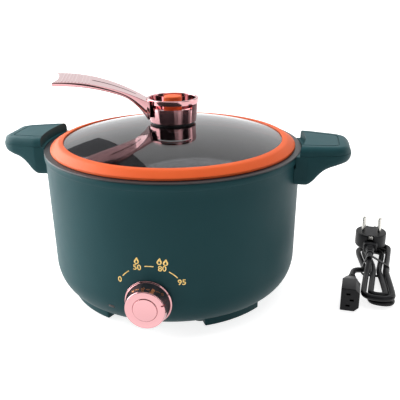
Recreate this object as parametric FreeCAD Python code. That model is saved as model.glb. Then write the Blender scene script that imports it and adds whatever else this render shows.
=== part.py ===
import FreeCAD, Part
import math
import os

# Electric hot pot with a lift-off lid. Millimetres, +Z up, table at z = 0,
# pot axis on Z, temperature dial at -Y, mains inlet at +Y, handles at +X and -X.

# Pan and rim
rim_height = 168.0  # top of the pan's flange above the table
rim_radius = 143.0  # outside of the pan's flange
rim_sheet = 2.0
rim_hem = 3.6  # depth of the flange's turned-down edge
pan_mouth_radius = 131.5
pan_floor_radius = 118.0
pan_depth = 96.0
pan_corner = 22.0

# Outer shell
shell_wall = 2.8
shell_top_inset = 1.2  # side wall inside the flange's edge
bead_height = 7.0
bead_bulge = 1.3
side_taper = 2.2
corner_reach = 24.0  # bottom corner, across
corner_rise = 34.0  # bottom corner, up
base_height = 9.0  # underside of the base above the table
ledge_width = 11.0
ledge_sheet = 2.5
seat_gap = 0.3

# Base cover, feet and pads
cover_sheet = 2.5
cover_clearance = 0.4
foot_span = 40.0  # degrees round the axis
foot_width = 17.0
foot_lift = 2.0  # underside of the moulded foot above the table
foot_centres = (-135.0, -45.0, 45.0, 135.0)
pad_height = 3.0
pad_margin = 3.0
vent_count = 24
vent_length = 30.0
vent_width = 3.0
vent_circle = 66.0
cover_screw_radius = 1.75
cover_screw_head = 3.5
cover_boss_radius = 4.4
cover_boss_height = 8.0

# Handles
handle_reach = 195.0  # outer end from the pot axis
handle_inner_radius = 147.1
handle_root_half = 37.0
handle_end_half = 24.0
handle_top = 9.1  # above the rim
handle_top_fall = 1.8
handle_drop = 50.0  # lowest point below the rim
handle_end_thickness = 18.5
handle_wall = 2.6
handle_parting = 0.5  # parting line above the rim
handle_lip = 0.7
handle_step_depth = 4.0
handle_edge_round = 3.5
handle_groove_width = 1.3
handle_groove_depth = 0.8
handle_screw_radius = 2.0
handle_screw_pitch = 34.0
handle_screw_drop = 27.0
handle_boss_radius = 4.5

# Temperature dial and thermostat
dial_height = 43.0
dial_base_radius = 25.0
dial_face_radius = 21.2
dial_depth = 14.5
dial_wall = 2.2
dial_round = 1.6
dial_gap = 0.6
dial_disc_radius = 14.0
dial_disc_sheet = 1.2
dial_pointer_turn = 70.0  # degrees clockwise from straight up, seen from the front
dial_pointer_width = 1.6
dial_seat_radius = 24.0
shaft_radius = 3.0
shaft_clearance = 0.05
bushing_radius = 5.0
thermostat_radius = 15.0
thermostat_depth = 18.0
thermostat_standoff = 5.0
bracket_sheet = 1.5
bracket_width = 46.0
bracket_height = 24.0

# Mains inlet (standard appliance inlet for a detachable lead)
inlet_height = 43.0
inlet_seat_radius = 147.2  # flat of the raised inlet housing, from the pot axis
inlet_flange = (50.0, 24.0, 3.0)
inlet_body = (27.6, 20.6, 20.0)
inlet_cavity = (24.8, 17.8, 17.0)
inlet_screw_pitch = 40.0
inlet_screw_radius = 1.7
inlet_pin = (4.0, 2.0)
inlet_pin_pitch = 7.0

# Pilot lamp
lamp_turn = 17.5  # degrees left of the dial
lamp_height = 30.0
lamp_lens = (7.0, 3.0)
lamp_depth = 12.0

# Heating
element_radius = 78.0
element_tube_radius = 4.2
element_gap_angle = 34.0
shield_radius = 104.0
shield_sheet = 0.8
shield_drop = 17.0
stud_circle = 50.0
stud_radius = 2.5
stud_count = 3
nut_flats = 8.0

# Lid
glass_radius = 128.0
glass_sheet = 4.0
glass_sphere = 440.0
glass_apex = 24.5  # above the rim
glass_hole_radius = 6.0
ring_outer_radius = 136.2
ring_inner_radius = 121.6
ring_side = 1.9
ring_skirt_depth = 9.0
ring_skirt_sheet = 3.0
ring_skirt_clearance = 0.8
ring_lap = 1.4
lid_lift_gap = 0.3

# Lid knob, a cup with a long rest arm
cup_bottom_radius = 26.0
cup_top_radius = 28.4
cup_bottom = 25.8  # above the rim
cup_top = 52.1
cup_wall = 3.0
cup_floor = 3.2
cup_slot_height = 4.4
cup_slot_drop = 5.2
cup_slot_angle = 102.0
arm_turn = 196.5  # direction of the arm round the axis
arm_reach = 125.0
arm_tip_half = 34.0
arm_mid_half = 27.0
arm_root_half = 19.0
arm_tip_height = 76.8  # above the rim
arm_sheet = 4.4
arm_edge_round = 1.3
arm_tip_hollow = 4.0
arm_slot_width = 3.0
arm_slot_reach = (41.0, 84.0)
arm_rib_count = 9
arm_rib_pitch = 3.4
arm_rib_radius = 1.1
tube_radius = 5.8
tube_bore_radius = 2.2
lid_nut_flats = 17.0
lid_nut_height = 5.0
washer_radius = 17.0
washer_sheet = 1.6
cap_radius = 10.0
cap_rise = 1.4  # top of the steam cap above the cup's edge
cap_seat_gap = 0.3
cap_clearance = 0.08

# Mains lead, lying in a tied hank on the table
cord_radius = 3.25
cord_gap = 1.2
hank_centre = (242.0, 28.0)
hank_turn = -6.5
hank_loops = 3
hank_waist_half = 12.5
hank_top_half = 24.0
hank_top_reach = 54.0
hank_foot_half = 21.0
hank_foot_reach = -58.0
hank_foot_shift = 6.0
entry_place = (-2.0, 7.0)  # where the connector's strand joins the waist, from the waist's outer strand
entry_slope = 0.15
exit_place = (-0.7, -20.0)
plug_centre = (-10.5, 58.0)
plug_radius = 19.0
plug_depth = 20.0
plug_cord_height = 7.0
plug_relief = 24.0
plug_pin_radius = 2.4
plug_pin_length = 19.0
plug_pin_pitch = 19.0
connector_place = -29.5
connector_end = -88.0
connector_size = (20.0, 42.0, 27.0)
connector_relief = 15.0
tie_sheet = 0.7
tie_width = 5.0
tie_gap = 0.5
tie_place = 3.0


def vec(x, y, z=0.0):
    return FreeCAD.Vector(x, y, z)


up = vec(0, 0, 1)


def edges_through(points, plane):
    """Edges of an outline: a plain point ends a line, a pair of points an arc (middle, end)."""
    here = plane(points[0])
    edges = []
    for step in points[1:]:
        if isinstance(step[0], tuple):
            middle, end = plane(step[0]), plane(step[1])
            edges.append(Part.Arc(here, middle, end).toShape())
        else:
            end = plane(step)
            edges.append(Part.LineSegment(here, end).toShape())
        here = end
    start = plane(points[0])
    if here.distanceToPoint(start) > 1e-6:
        edges.append(Part.LineSegment(here, start).toShape())
    return edges


def rounded(corners):
    """An outline from corners (across, up, radius), each turned by an arc that runs smoothly into its sides."""
    points = []
    for k, (x, y, radius) in enumerate(corners):
        if radius == 0:
            points.append((x, y))
            continue
        here = vec(x, y)
        before = vec(*corners[k - 1][:2]) - here
        after = vec(*corners[(k + 1) % len(corners)][:2]) - here
        before.normalize()
        after.normalize()
        half = before.getAngle(after) / 2
        inward = before + after
        inward.normalize()
        start = here + before * (radius / math.tan(half))
        end = here + after * (radius / math.tan(half))
        middle = here + inward * (radius / math.sin(half) - radius)
        points += [(start.x, start.y), ((middle.x, middle.y), (end.x, end.y))]
    return points


def side_face(points):
    """A face in the XZ plane from an outline of (radius, height)."""
    return Part.Face(Part.Wire(edges_through(points, lambda p: vec(p[0], 0, p[1]))))


def plan_face(points, z):
    return Part.Face(Part.Wire(edges_through(points, lambda p: vec(p[0], p[1], z))))


def turned(points):
    return side_face(points).revolve(vec(0, 0), up, 360)


def disc(radius, low, high, x=0.0, y=0.0):
    return Part.makeCylinder(radius, high - low, vec(x, y, low))


def ring(outer, inner, low, high, x=0.0, y=0.0):
    return disc(outer, low, high, x, y).cut(disc(inner, low, high, x, y))


def block(x_size, y_size, z_size, x=0.0, y=0.0, z=0.0):
    """A box centred on x and y that stands on z."""
    return Part.makeBox(x_size, y_size, z_size, vec(x - x_size / 2, y - y_size / 2, z))


def around(shape, degrees):
    """A copy turned about the pot axis."""
    copy = shape.copy()
    copy.rotate(vec(0, 0), up, degrees)
    return copy


def lying(shape, y, z):
    """A shape built on the Z axis, laid so that its +Z points to the front, with its foot at y."""
    copy = shape.copy()
    copy.rotate(vec(0, 0), vec(1, 0, 0), 90)
    copy.translate(vec(0, y, z))
    return copy


def fused(shapes):
    whole = shapes[0]
    for other in shapes[1:]:
        whole = whole.fuse(other)
    return whole.removeSplitter()


def hexagon(flats, low, high, x=0.0, y=0.0):
    corner = flats / math.sqrt(3)
    spots = [math.radians(60 * k) for k in range(6)]
    outline = [(x + corner * math.cos(a), y + corner * math.sin(a)) for a in spots]
    return plan_face(outline, low).extrude(vec(0, 0, high - low))


def polar(radius, degrees, z=0.0):
    a = math.radians(degrees)
    return vec(radius * math.cos(a), radius * math.sin(a), z)


def save(node, shape):
    shape.exportStep("parts/" + node + ".step")
    solids = len(shape.Solids)
    print(node, "solids", solids, "volume", round(shape.Volume / 1000, 2), "cm3", "" if shape.isValid() else "INVALID")


# Heights and radii that follow from the sizes above
shell_top = rim_height - rim_sheet
side_top_radius = rim_radius - shell_top_inset
bead_top = rim_height - rim_hem - seat_gap
bead_bottom = bead_top - bead_height
side_low_radius = side_top_radius - side_taper
corner_top = base_height + corner_rise
base_radius = side_low_radius - corner_reach
pan_floor = rim_height - pan_depth
pan_under = pan_floor - rim_sheet
cover_top = base_height + cover_sheet
cover_screw_circle = base_radius - ledge_width / 2 - shell_wall / 2
pan_slant = (pan_mouth_radius - pan_floor_radius) / (pan_depth - pan_corner)
hank_lift = tie_sheet + tie_gap + 0.1
dial_seat = side_low_radius  # flat that the dial turns on, from the pot axis
dial_back = dial_seat + dial_gap
inlet_face = inlet_seat_radius + inlet_flange[2]


def shell_form(inset):
    """The closed form of the shell's outside, drawn in by a wall all round, without its bead."""
    low = base_height + inset
    centre = vec(base_radius, 0, corner_top)
    lowest = vec(base_radius, 0, low)
    widest = vec(side_low_radius - inset, 0, corner_top)
    if corner_top - low > widest.x - base_radius:
        corner = Part.ArcOfEllipse(Part.Ellipse(lowest, widest, centre), 0, math.pi / 2)
    else:
        corner = Part.ArcOfEllipse(Part.Ellipse(widest, lowest, centre), -math.pi / 2, 0)
    spots = [vec(side_low_radius - inset, 0, corner_top), vec(side_top_radius - inset, 0, bead_bottom)]
    spots += [vec(side_top_radius - inset, 0, shell_top), vec(0, 0, shell_top), vec(0, 0, low), lowest]
    lines = [Part.LineSegment(a, b).toShape() for a, b in zip(spots, spots[1:])]
    outline = Part.Wire(Part.__sortEdges__([corner.toShape()] + lines))
    return Part.Face(outline).revolve(vec(0, 0), up, 360)


def side_radius(height):
    """Outside radius of the shell's side at a height between its corner and its bead."""
    share = (height - corner_top) / (bead_bottom - corner_top)
    return side_low_radius + side_taper * share


def outer_shell():
    bead = turned([
        (side_top_radius - 1, bead_bottom - 1.2),
        (side_top_radius, bead_bottom),
        ((side_top_radius + bead_bulge, (bead_bottom + bead_top) / 2), (side_top_radius, bead_top)),
        (side_top_radius - 1, bead_top),
    ])
    neck = rim_radius - rim_sheet - seat_gap
    trim = ring(rim_radius + 5, neck, bead_top, shell_top + 1)
    outside = shell_form(0)
    dial_pad = lying(disc(dial_seat_radius, 0, 20), -dial_seat + 20, dial_height)
    inlet_box = block(inlet_flange[0] + 4, 30, inlet_flange[1] + 4, 0, inlet_seat_radius - 15,
                      inlet_height - inlet_flange[1] / 2 - 2)
    inlet_box = inlet_box.makeFillet(5, [e for e in inlet_box.Edges if abs(e.tangentAt(0).y) > 0.9])
    outside = fused([outside.cut(trim), bead, dial_pad, inlet_box])
    hollow = shell_form(shell_wall).fuse(disc(base_radius - ledge_width, base_height - 1, corner_top))
    hollow = hollow.fuse(disc(side_top_radius - shell_wall, corner_top + 40, shell_top + 1))
    under = disc(base_radius - shell_wall + cover_clearance, base_height - 1, cover_top)
    shell = outside.cut(hollow)
    ledge = ring(base_radius + shell_wall, base_radius - ledge_width, base_height + 1, cover_top + ledge_sheet)
    bosses = []
    for spot in foot_centres:
        centre = polar(cover_screw_circle, spot)
        bosses.append(disc(cover_boss_radius, cover_top, cover_top + cover_boss_height, centre.x, centre.y))
    shell = fused([shell, ledge.common(shell_form(0))] + bosses).cut(under)
    shell = shell.cut(lying(disc(bushing_radius + 0.4, 0, 60), -dial_seat + 40, dial_height))
    body = inlet_body
    opening = block(body[0] + 0.4, 60, body[1] + 0.4, 0, inlet_seat_radius, inlet_height - body[1] / 2 - 0.2)
    shell = shell.cut(opening)
    for side in (-1, 1):
        hole = lying(disc(inlet_screw_radius, 0, 40), inlet_seat_radius + 10, inlet_height)
        hole.translate(vec(side * inlet_screw_pitch / 2, 0))
        shell = shell.cut(hole)
    lens = block(lamp_lens[0] + 0.3, 30, lamp_lens[1] + 0.3, 0, -side_low_radius, lamp_height - lamp_lens[1] / 2 - 0.15)
    shell = shell.cut(around(lens, -lamp_turn))
    for side in (-1, 1):
        for across in (-1, 1):
            hole = sideways(handle_screw_radius + 0.3, 125, 155, across * handle_screw_pitch / 2,
                            rim_height - handle_screw_drop)
            shell = shell.cut(around(hole, 0 if side > 0 else 180))
    for spot in foot_centres:
        centre = polar(cover_screw_circle, spot)
        shell = shell.cut(disc(cover_screw_radius - 0.3, cover_top - 1, cover_top + 7.2, centre.x, centre.y))
    return shell


def inner_pot():
    wall = rim_sheet
    mouth, low, floor = pan_mouth_radius, pan_floor_radius, pan_floor
    bend = pan_corner
    inside_corner = (low - bend * 0.29, floor + bend * 0.29)
    outside_corner = (low + wall - bend * 0.29, floor - wall + bend * 0.29)
    return turned([
        (0, floor),
        (low - bend, floor),
        (inside_corner, (low, floor + bend)),
        (mouth - 1.5 * pan_slant, rim_height - 1.5),
        ((mouth + 0.2, rim_height - 0.5), (mouth + 1.4, rim_height)),
        (rim_radius - 1.6, rim_height),
        ((rim_radius - 0.4, rim_height - 0.5), (rim_radius, rim_height - 1.6)),
        (rim_radius, rim_height - rim_hem),
        (rim_radius - wall * 0.7, rim_height - rim_hem),
        (rim_radius - wall * 0.7, rim_height - wall),
        (mouth + wall, rim_height - wall),
        (low + wall, floor + bend),
        (outside_corner, (low + wall - bend, floor - wall)),
        (0, floor - wall),
    ])


def arc_block(inner, outer, span, low, high, margin=0.0):
    """A stretch of a ring between two radii, centred on +X, with round ends."""
    half = math.radians(span / 2 - margin / outer * 180 / math.pi)
    a, b = inner + margin, outer - margin
    middle = (a + b) / 2
    reach = (b - a) / 2
    end = (middle * math.cos(half), middle * math.sin(half))

    def spot(radius, angle):
        return (radius * math.cos(angle), radius * math.sin(angle))

    def nose(side):
        return (end[0] - reach * math.sin(half), side * (end[1] + reach * math.cos(half)))

    outline = [spot(b, -half), (spot(b, 0), spot(b, half)), (nose(1), spot(a, half)),
               (spot(a, 0), spot(a, -half)), (nose(-1), spot(b, -half))]
    return plan_face(outline, low).extrude(vec(0, 0, high - low))


foot_outer = base_radius - shell_wall - cover_clearance
foot_inner = foot_outer - foot_width


def bottom_cover():
    radius = base_radius - shell_wall
    cover = disc(radius, base_height, cover_top)
    cover = cover.fuse(ring(base_radius - ledge_width - 1, base_radius - ledge_width - 3, cover_top, cover_top + 4))
    for spot in foot_centres:
        foot = arc_block(foot_inner, foot_outer, foot_span, foot_lift, base_height)
        recess = arc_block(foot_inner, foot_outer, foot_span, foot_lift - 1, foot_lift + 1, pad_margin)
        cover = cover.fuse(around(foot.cut(recess), spot))
    for k in range(vent_count):
        slot = block(vent_length, vent_width, cover_sheet + 2, vent_circle, 0, base_height - 1)
        cover = cover.cut(around(slot, 360.0 / vent_count * (k + 0.5)))
    for spot in foot_centres:
        centre = polar(cover_screw_circle, spot)
        cover = cover.cut(disc(cover_screw_radius + 0.3, 0, cover_top + 1, centre.x, centre.y))
        cover = cover.cut(disc(cover_screw_head + 0.4, 0, base_height - 1.5, centre.x, centre.y))
    return cover.removeSplitter()


def foot_pads():
    pads = []
    for spot in foot_centres:
        pad = arc_block(foot_inner, foot_outer, foot_span, 0, pad_height, pad_margin + 0.2)
        centre = polar(cover_screw_circle, spot)
        pad = around(pad, spot).cut(disc(cover_screw_head + 0.6, -1, pad_height + 1, centre.x, centre.y))
        pads.append(pad)
    return Part.makeCompound(pads)


def bottom_screws():
    screws = []
    for spot in foot_centres:
        centre = polar(cover_screw_circle, spot)
        head = disc(cover_screw_head, base_height - 4, base_height - 1.5, centre.x, centre.y)
        shank = disc(cover_screw_radius - 0.3, base_height - 1.5, cover_top + 7, centre.x, centre.y)
        screws.append(head.fuse(shank))
    return Part.makeCompound(screws)


def handle_form(inset, rounding=0.0):
    """Right handle as a closed form: its side profile met by its plan outline."""
    top = rim_height + handle_top - inset
    end = handle_reach - inset
    under = rim_height + handle_top - handle_end_thickness + inset
    foot = rim_height - handle_drop + inset
    inside = handle_inner_radius - 37
    profile = side_face(rounded([
        (inside, top, 0),
        (end, top - handle_top_fall, 8 - inset),
        (end - 1, under, 6 - inset),
        (handle_inner_radius + 19 - inset, under - 4.5, 32),
        (side_radius(foot) + 1 - inset / 2, foot, 0),
        (inside, foot, 0),
    ]))
    reach = handle_root_half + 20
    profile.translate(vec(0, -reach))
    slab = profile.extrude(vec(0, 2 * reach, 0))
    root = handle_root_half - inset
    tip = handle_end_half - inset
    waist = handle_inner_radius + 3
    plan = plan_face(rounded([
        (inside, -root - 1.5, 0),
        (waist, -root, 30),
        (end, -tip, 13 - inset),
        (end, tip, 13 - inset),
        (waist, root, 30),
        (inside, root + 1.5, 0),
    ]), foot - 20)
    form = slab.common(plan.extrude(vec(0, 0, top - foot + 40)))
    if rounding:
        high = [e for e in form.Edges if e.BoundBox.ZMin > top - handle_top_fall - 1 and e.BoundBox.YMin > 1]
        low = [e for e in form.Edges if e.BoundBox.ZMax < top - 10 and e.BoundBox.YMin > 1
               and e.BoundBox.ZLength > 1 and e.BoundBox.XLength > 10]
        high += [e for e in form.Edges if e.BoundBox.ZMin > top - handle_top_fall - 1 and e.BoundBox.YMax < -1]
        low += [e for e in form.Edges if e.BoundBox.ZMax < top - 10 and e.BoundBox.YMax < -1
                and e.BoundBox.ZLength > 1 and e.BoundBox.XLength > 10]
        form = form.makeFillet(rounding, high + low)
    return form


def handle_seat():
    """What a handle fits round: the shell with its bead, and the rim with its running room."""
    rim_room = disc(handle_inner_radius, rim_height - handle_step_depth, rim_height + 40)
    bead_room = disc(side_top_radius + bead_bulge + seat_gap, bead_bottom - 1.5, bead_top + 1)
    return shell_form(-0.05).fuse(bead_room).fuse(rim_room)


def handle_pieces():
    """The upper and lower mouldings of the right handle."""
    parting = rim_height + handle_parting
    seat = handle_seat()
    inner_wall = disc(handle_inner_radius + handle_wall, rim_height - handle_step_depth - handle_wall, rim_height + 40)
    hollow = handle_form(handle_wall).cut(inner_wall)
    across = handle_reach
    high = block(across, across, 60, handle_reach, 0, parting)
    low = block(across, across, 90, handle_reach, 0, parting - 90)
    upper = handle_form(0, handle_edge_round).cut(hollow).cut(seat).common(high)
    groove_floor = rim_height + handle_top - handle_groove_depth
    groove = handle_panel(0, groove_floor - 10, 20).cut(handle_panel(handle_groove_width, groove_floor - 12, 30))
    groove = groove.cut(handle_form(handle_groove_depth))
    upper = upper.cut(groove)
    lower = handle_form(-handle_lip, handle_edge_round).cut(hollow).cut(seat).common(low)
    z = rim_height - handle_screw_drop
    for side in (-1, 1):
        y = side * handle_screw_pitch / 2
        boss = sideways(handle_boss_radius, 125, 155, y, z)
        lower = lower.fuse(boss.common(handle_form(handle_wall / 2)).cut(seat))
        lower = lower.cut(sideways(handle_screw_radius - 0.3, 120, 151, y, z))
    return upper.removeSplitter(), lower.removeSplitter()


def sideways(radius, start, end, y, z):
    """A round bar along X."""
    return Part.makeCylinder(radius, end - start, vec(start, y, z), vec(1, 0, 0))


def handle_panel(inset, low, depth):
    """The incised panel on a handle's top, open towards the rim."""
    half = handle_end_half - 4 - inset
    end = handle_reach - 12.5 - inset
    outline = rounded([
        (handle_inner_radius - 17, -half - 8, 0),
        (handle_inner_radius + 5, -half - 6, 0),
        (end, -half, 7 - inset),
        (end, half, 7 - inset),
        (handle_inner_radius + 5, half + 6, 0),
        (handle_inner_radius - 17, half + 8, 0),
    ])
    return plan_face(outline, low).extrude(vec(0, 0, depth))


def handle_screws():
    screws = []
    head_seat = side_radius(rim_height - handle_screw_drop) - shell_wall
    flat = math.sqrt(head_seat ** 2 - (handle_screw_pitch / 2 + 4) ** 2)
    for side in (0, 180):
        for across in (-1, 1):
            head = disc(3.8, 0, 2.4)
            shank = disc(handle_screw_radius - 0.3, 2.4, 16)
            screw = head.fuse(shank)
            screw.rotate(vec(0, 0), vec(0, 1, 0), 90)
            screw.translate(vec(flat - 2.6, across * handle_screw_pitch / 2, rim_height - handle_screw_drop))
            screws.append(around(screw, side))
    return Part.makeCompound(screws)


def dial_knob():
    """Built on Z with its face up, then laid to face the front."""
    skin = turned([
        (0, 0),
        (dial_base_radius, 0),
        (dial_base_radius, 1.6),
        (dial_base_radius - 1.2, 2.2),
        (dial_face_radius + 0.4, dial_depth - dial_round),
        ((dial_face_radius, dial_depth - dial_round / 3), (dial_face_radius - dial_round, dial_depth)),
        (0, dial_depth),
    ])
    hollow = turned([
        (0, -1),
        (dial_base_radius - dial_wall, -1),
        (dial_face_radius - dial_wall, dial_depth - 2 * dial_wall),
        (0, dial_depth - 2 * dial_wall),
    ])
    hub = disc(6.0, 1.0, dial_depth - dial_wall)
    spokes = fused([block(2 * dial_face_radius - 3, 1.6, dial_depth - 6, 0, 0, 3),
                    block(1.6, 2 * dial_face_radius - 3, dial_depth - 6, 0, 0, 3)])
    knob = fused([skin.cut(hollow), hub, spokes.common(skin)])
    knob = knob.cut(disc(dial_disc_radius + 0.1, dial_depth - dial_disc_sheet, dial_depth + 1))
    knob = knob.cut(disc(shaft_radius, -1, dial_depth - 2.6))
    pointer = block(dial_face_radius - dial_disc_radius + 6, dial_pointer_width, 6,
                    (dial_face_radius + dial_disc_radius) / 2 + 4.2, 0, dial_depth - 4.5)
    pointer = pointer.cut(disc(dial_face_radius - 3.4, 0, dial_depth + 5))
    pointer.rotate(vec(0, 0), up, 90 - dial_pointer_turn)
    knob = knob.cut(pointer)
    return lying(knob, -dial_back, dial_height)


def dial_disc():
    plate = disc(dial_disc_radius, dial_depth - dial_disc_sheet, dial_depth + 0.3)
    edge = [e for e in plate.Edges if e.BoundBox.ZMin > dial_depth]
    return lying(plate.makeChamfer(0.25, edge), -dial_back, dial_height)


thermostat_front = side_low_radius - shell_wall - thermostat_standoff - bracket_sheet


def thermostat_shaft():
    """Round shaft from the thermostat into the dial's hub."""
    deep = thermostat_front - 6
    return lying(disc(shaft_radius, 0, dial_back + dial_depth - 2.8 - deep), -deep, dial_height)


def thermostat():
    body = lying(disc(thermostat_radius, 0, thermostat_depth), -thermostat_front + thermostat_depth, dial_height)
    bushing = lying(disc(bushing_radius, 0, 10), -thermostat_front, dial_height)
    bore = lying(disc(shaft_radius + shaft_clearance, 0, 40), -thermostat_front + 6.2, dial_height)
    tabs = []
    for side in (-1, 1):
        tabs.append(block(6, 9, 0.8, side * 7, -thermostat_front + thermostat_depth + 4.5, dial_height + 4))
    return fused([body, bushing] + tabs).cut(bore)


def thermostat_bracket():
    y = -thermostat_front - bracket_sheet / 2
    plate = block(bracket_width, bracket_sheet, bracket_height, 0, y, dial_height - bracket_height / 2)
    plate = plate.cut(lying(disc(bushing_radius + 0.1, 0, 20), -thermostat_front + 5, dial_height))
    wall = shell_form(shell_wall)
    feet = []
    for side in (-1, 1):
        foot = block(6, 26, bracket_height, side * (bracket_width / 2 - 3), -thermostat_front - 13,
                     dial_height - bracket_height / 2)
        feet.append(foot.common(wall))
    return fused([plate] + feet)


def inlet_socket():
    """Insulating body of the inlet with its flange outside the shell."""
    wide, tall, sheet = inlet_flange
    flange = block(wide, sheet, tall, 0, inlet_seat_radius + sheet / 2, inlet_height - tall / 2)
    flange = flange.makeFillet(3.5, [e for e in flange.Edges if abs(e.tangentAt(0).y) > 0.9])
    body = block(inlet_body[0], inlet_body[2], inlet_body[1], 0, inlet_seat_radius - inlet_body[2] / 2,
                 inlet_height - inlet_body[1] / 2)
    wide, tall, deep = inlet_cavity
    half_wide, half_tall, snip = wide / 2, tall / 2, 4.5
    outline = [(-half_wide, -half_tall), (half_wide, -half_tall), (half_wide, half_tall - snip),
               (half_wide - snip, half_tall), (-half_wide + snip, half_tall), (-half_wide, half_tall - snip)]
    cavity = Part.Face(Part.Wire(edges_through(outline, lambda p: vec(p[0], inlet_face + 1, inlet_height + p[1]))))
    cavity = cavity.extrude(vec(0, -deep - 1, 0))
    socket = flange.fuse(body).cut(cavity)
    for side in (-1, 1):
        hole = lying(disc(inlet_screw_radius, 0, 20), inlet_face + 5, inlet_height)
        hole.translate(vec(side * inlet_screw_pitch / 2, 0))
        socket = socket.cut(hole)
    for x, z in inlet_pin_spots():
        slot = block(inlet_pin[1], 60, inlet_pin[0], x, inlet_face - 20, z - inlet_pin[0] / 2)
        socket = socket.cut(slot)
    return socket.removeSplitter()


def inlet_pin_spots():
    return [(-inlet_pin_pitch, inlet_height - 2), (0, inlet_height + 2), (inlet_pin_pitch, inlet_height - 2)]


def inlet_pins():
    pins = []
    tail = inlet_seat_radius - inlet_body[2] - 8
    for x, z in inlet_pin_spots():
        length = inlet_face - 2.5 - tail
        pins.append(block(inlet_pin[1], length, inlet_pin[0], x, tail + length / 2, z - inlet_pin[0] / 2))
    return Part.makeCompound(pins)


def inlet_screws():
    screws = []
    for side in (-1, 1):
        head = lying(disc(3.0, 0, 1.6), inlet_face + 1.6, inlet_height)
        shank = lying(disc(inlet_screw_radius, 0, 13), inlet_face, inlet_height)
        screw = head.fuse(shank)
        screw.translate(vec(side * inlet_screw_pitch / 2, 0))
        screws.append(screw)
    return Part.makeCompound(screws)


def indicator_lens():
    wide, tall = lamp_lens
    radius = lamp_wall_radius()
    lens = block(wide, 4.5, tall, 0, -radius + 1.95, lamp_height - tall / 2)
    flange = block(wide + 3, 1.2, tall + 3, 0, -radius + 4.2 + 0.6, lamp_height - tall / 2 - 1.5)
    return around(lens.fuse(flange), -lamp_turn)


def lamp_wall_radius():
    """Outside radius of the shell's corner at the lamp's height."""
    fall = (corner_top - lamp_height) / corner_rise
    return base_radius + corner_reach * math.sqrt(1 - fall * fall)


def indicator_lamp():
    radius = lamp_wall_radius()
    lamp = lying(disc(2.4, 0, lamp_depth), -radius + 5.4 + lamp_depth, lamp_height)
    return around(lamp, -lamp_turn)


def heating_element():
    """Sheathed heater: most of a circle under the pan, with its two cold ends turned down."""
    r = element_tube_radius
    z = pan_under - r
    half = element_gap_angle / 2
    start, end = polar(element_radius, 90 + half, z), polar(element_radius, 90 + 360 - half, z)
    loop = Part.Arc(start, polar(element_radius, 270, z), end).toShape()
    profile = Part.Wire(Part.makeCircle(r, start, polar(1, 180 + half)))
    tube = Part.Wire(loop).makePipeShell([profile], True, True)
    ends = []
    for spot in (start, end):
        ends.append(Part.makeSphere(r, spot))
        ends.append(Part.makeCylinder(r, 20, spot, vec(0, 0, -1)))
        ends.append(Part.makeCylinder(1.6, 30, spot, vec(0, 0, -1)))
    return fused([tube] + ends)


def heat_shield():
    """Dished sheet under the heater, held on the pan's studs."""
    top = pan_under - seat_gap
    low = pan_under - shield_drop
    dish = turned([
        (0, low),
        (shield_radius - 6, low),
        (shield_radius, low + 6),
        (shield_radius, top - 3),
        (shield_radius - shield_sheet, top - 3),
        (shield_radius - shield_sheet, low + 6),
        (shield_radius - 6, low + shield_sheet),
        (0, low + shield_sheet),
    ])
    for k in range(stud_count):
        centre = polar(stud_circle, 30 + 360 / stud_count * k)
        dish = dish.cut(disc(stud_radius + 0.3, low - 1, low + 2, centre.x, centre.y))
    half = element_gap_angle / 2
    for turn in (90 + half, 90 - half):
        centre = polar(element_radius, turn)
        dish = dish.cut(disc(element_tube_radius + 1, low - 1, low + 2, centre.x, centre.y))
    return dish


def pan_studs():
    low = pan_under - shield_drop - 9
    studs = []
    for k in range(stud_count):
        centre = polar(stud_circle, 30 + 360 / stud_count * k)
        studs.append(disc(stud_radius, low, pan_under, centre.x, centre.y))
    return Part.makeCompound(studs)


def stud_nuts():
    high = pan_under - shield_drop
    nuts = []
    for k in range(stud_count):
        centre = polar(stud_circle, 30 + 360 / stud_count * k)
        nut = hexagon(nut_flats, high - 4, high, centre.x, centre.y)
        nuts.append(nut.cut(disc(stud_radius, high - 5, high + 1, centre.x, centre.y)))
    return Part.makeCompound(nuts)


def thermal_fuse():
    """Button thermostat pressed to the pan's underside through a hole in the shield's middle."""
    low = pan_under - 8
    cup = disc(8, low, pan_under).fuse(disc(5.5, low - 5, low))
    arms = [block(5, 9, 0.8, side * 9.5, 0, low) for side in (-1, 1)]
    floor = pan_under - shield_drop + shield_sheet
    legs = [block(1.2, 9, low - floor, side * 11.4, 0, floor) for side in (-1, 1)]
    post = block(24, 9, 0.8, 0, 0, floor)
    return fused([cup, post] + arms + legs)


def glass_height(radius, depth=0.0):
    """Height of the lid glass over the rim plane at a radius, or of a surface that much below it."""
    ball = glass_sphere - depth
    return rim_height + glass_apex - glass_sphere + math.sqrt(ball * ball - radius * radius)


def lid_glass():
    edge = glass_radius
    hole = glass_hole_radius
    middle = edge / 2
    return turned([
        (hole, glass_height(hole)),
        ((middle, glass_height(middle)), (edge - 0.8, glass_height(edge - 0.8))),
        ((edge + 0.3, glass_height(edge) - glass_sheet / 2), (edge - 0.8, glass_height(edge - 0.8, glass_sheet))),
        ((middle, glass_height(middle, glass_sheet)), (hole, glass_height(hole, glass_sheet))),
    ])


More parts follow.
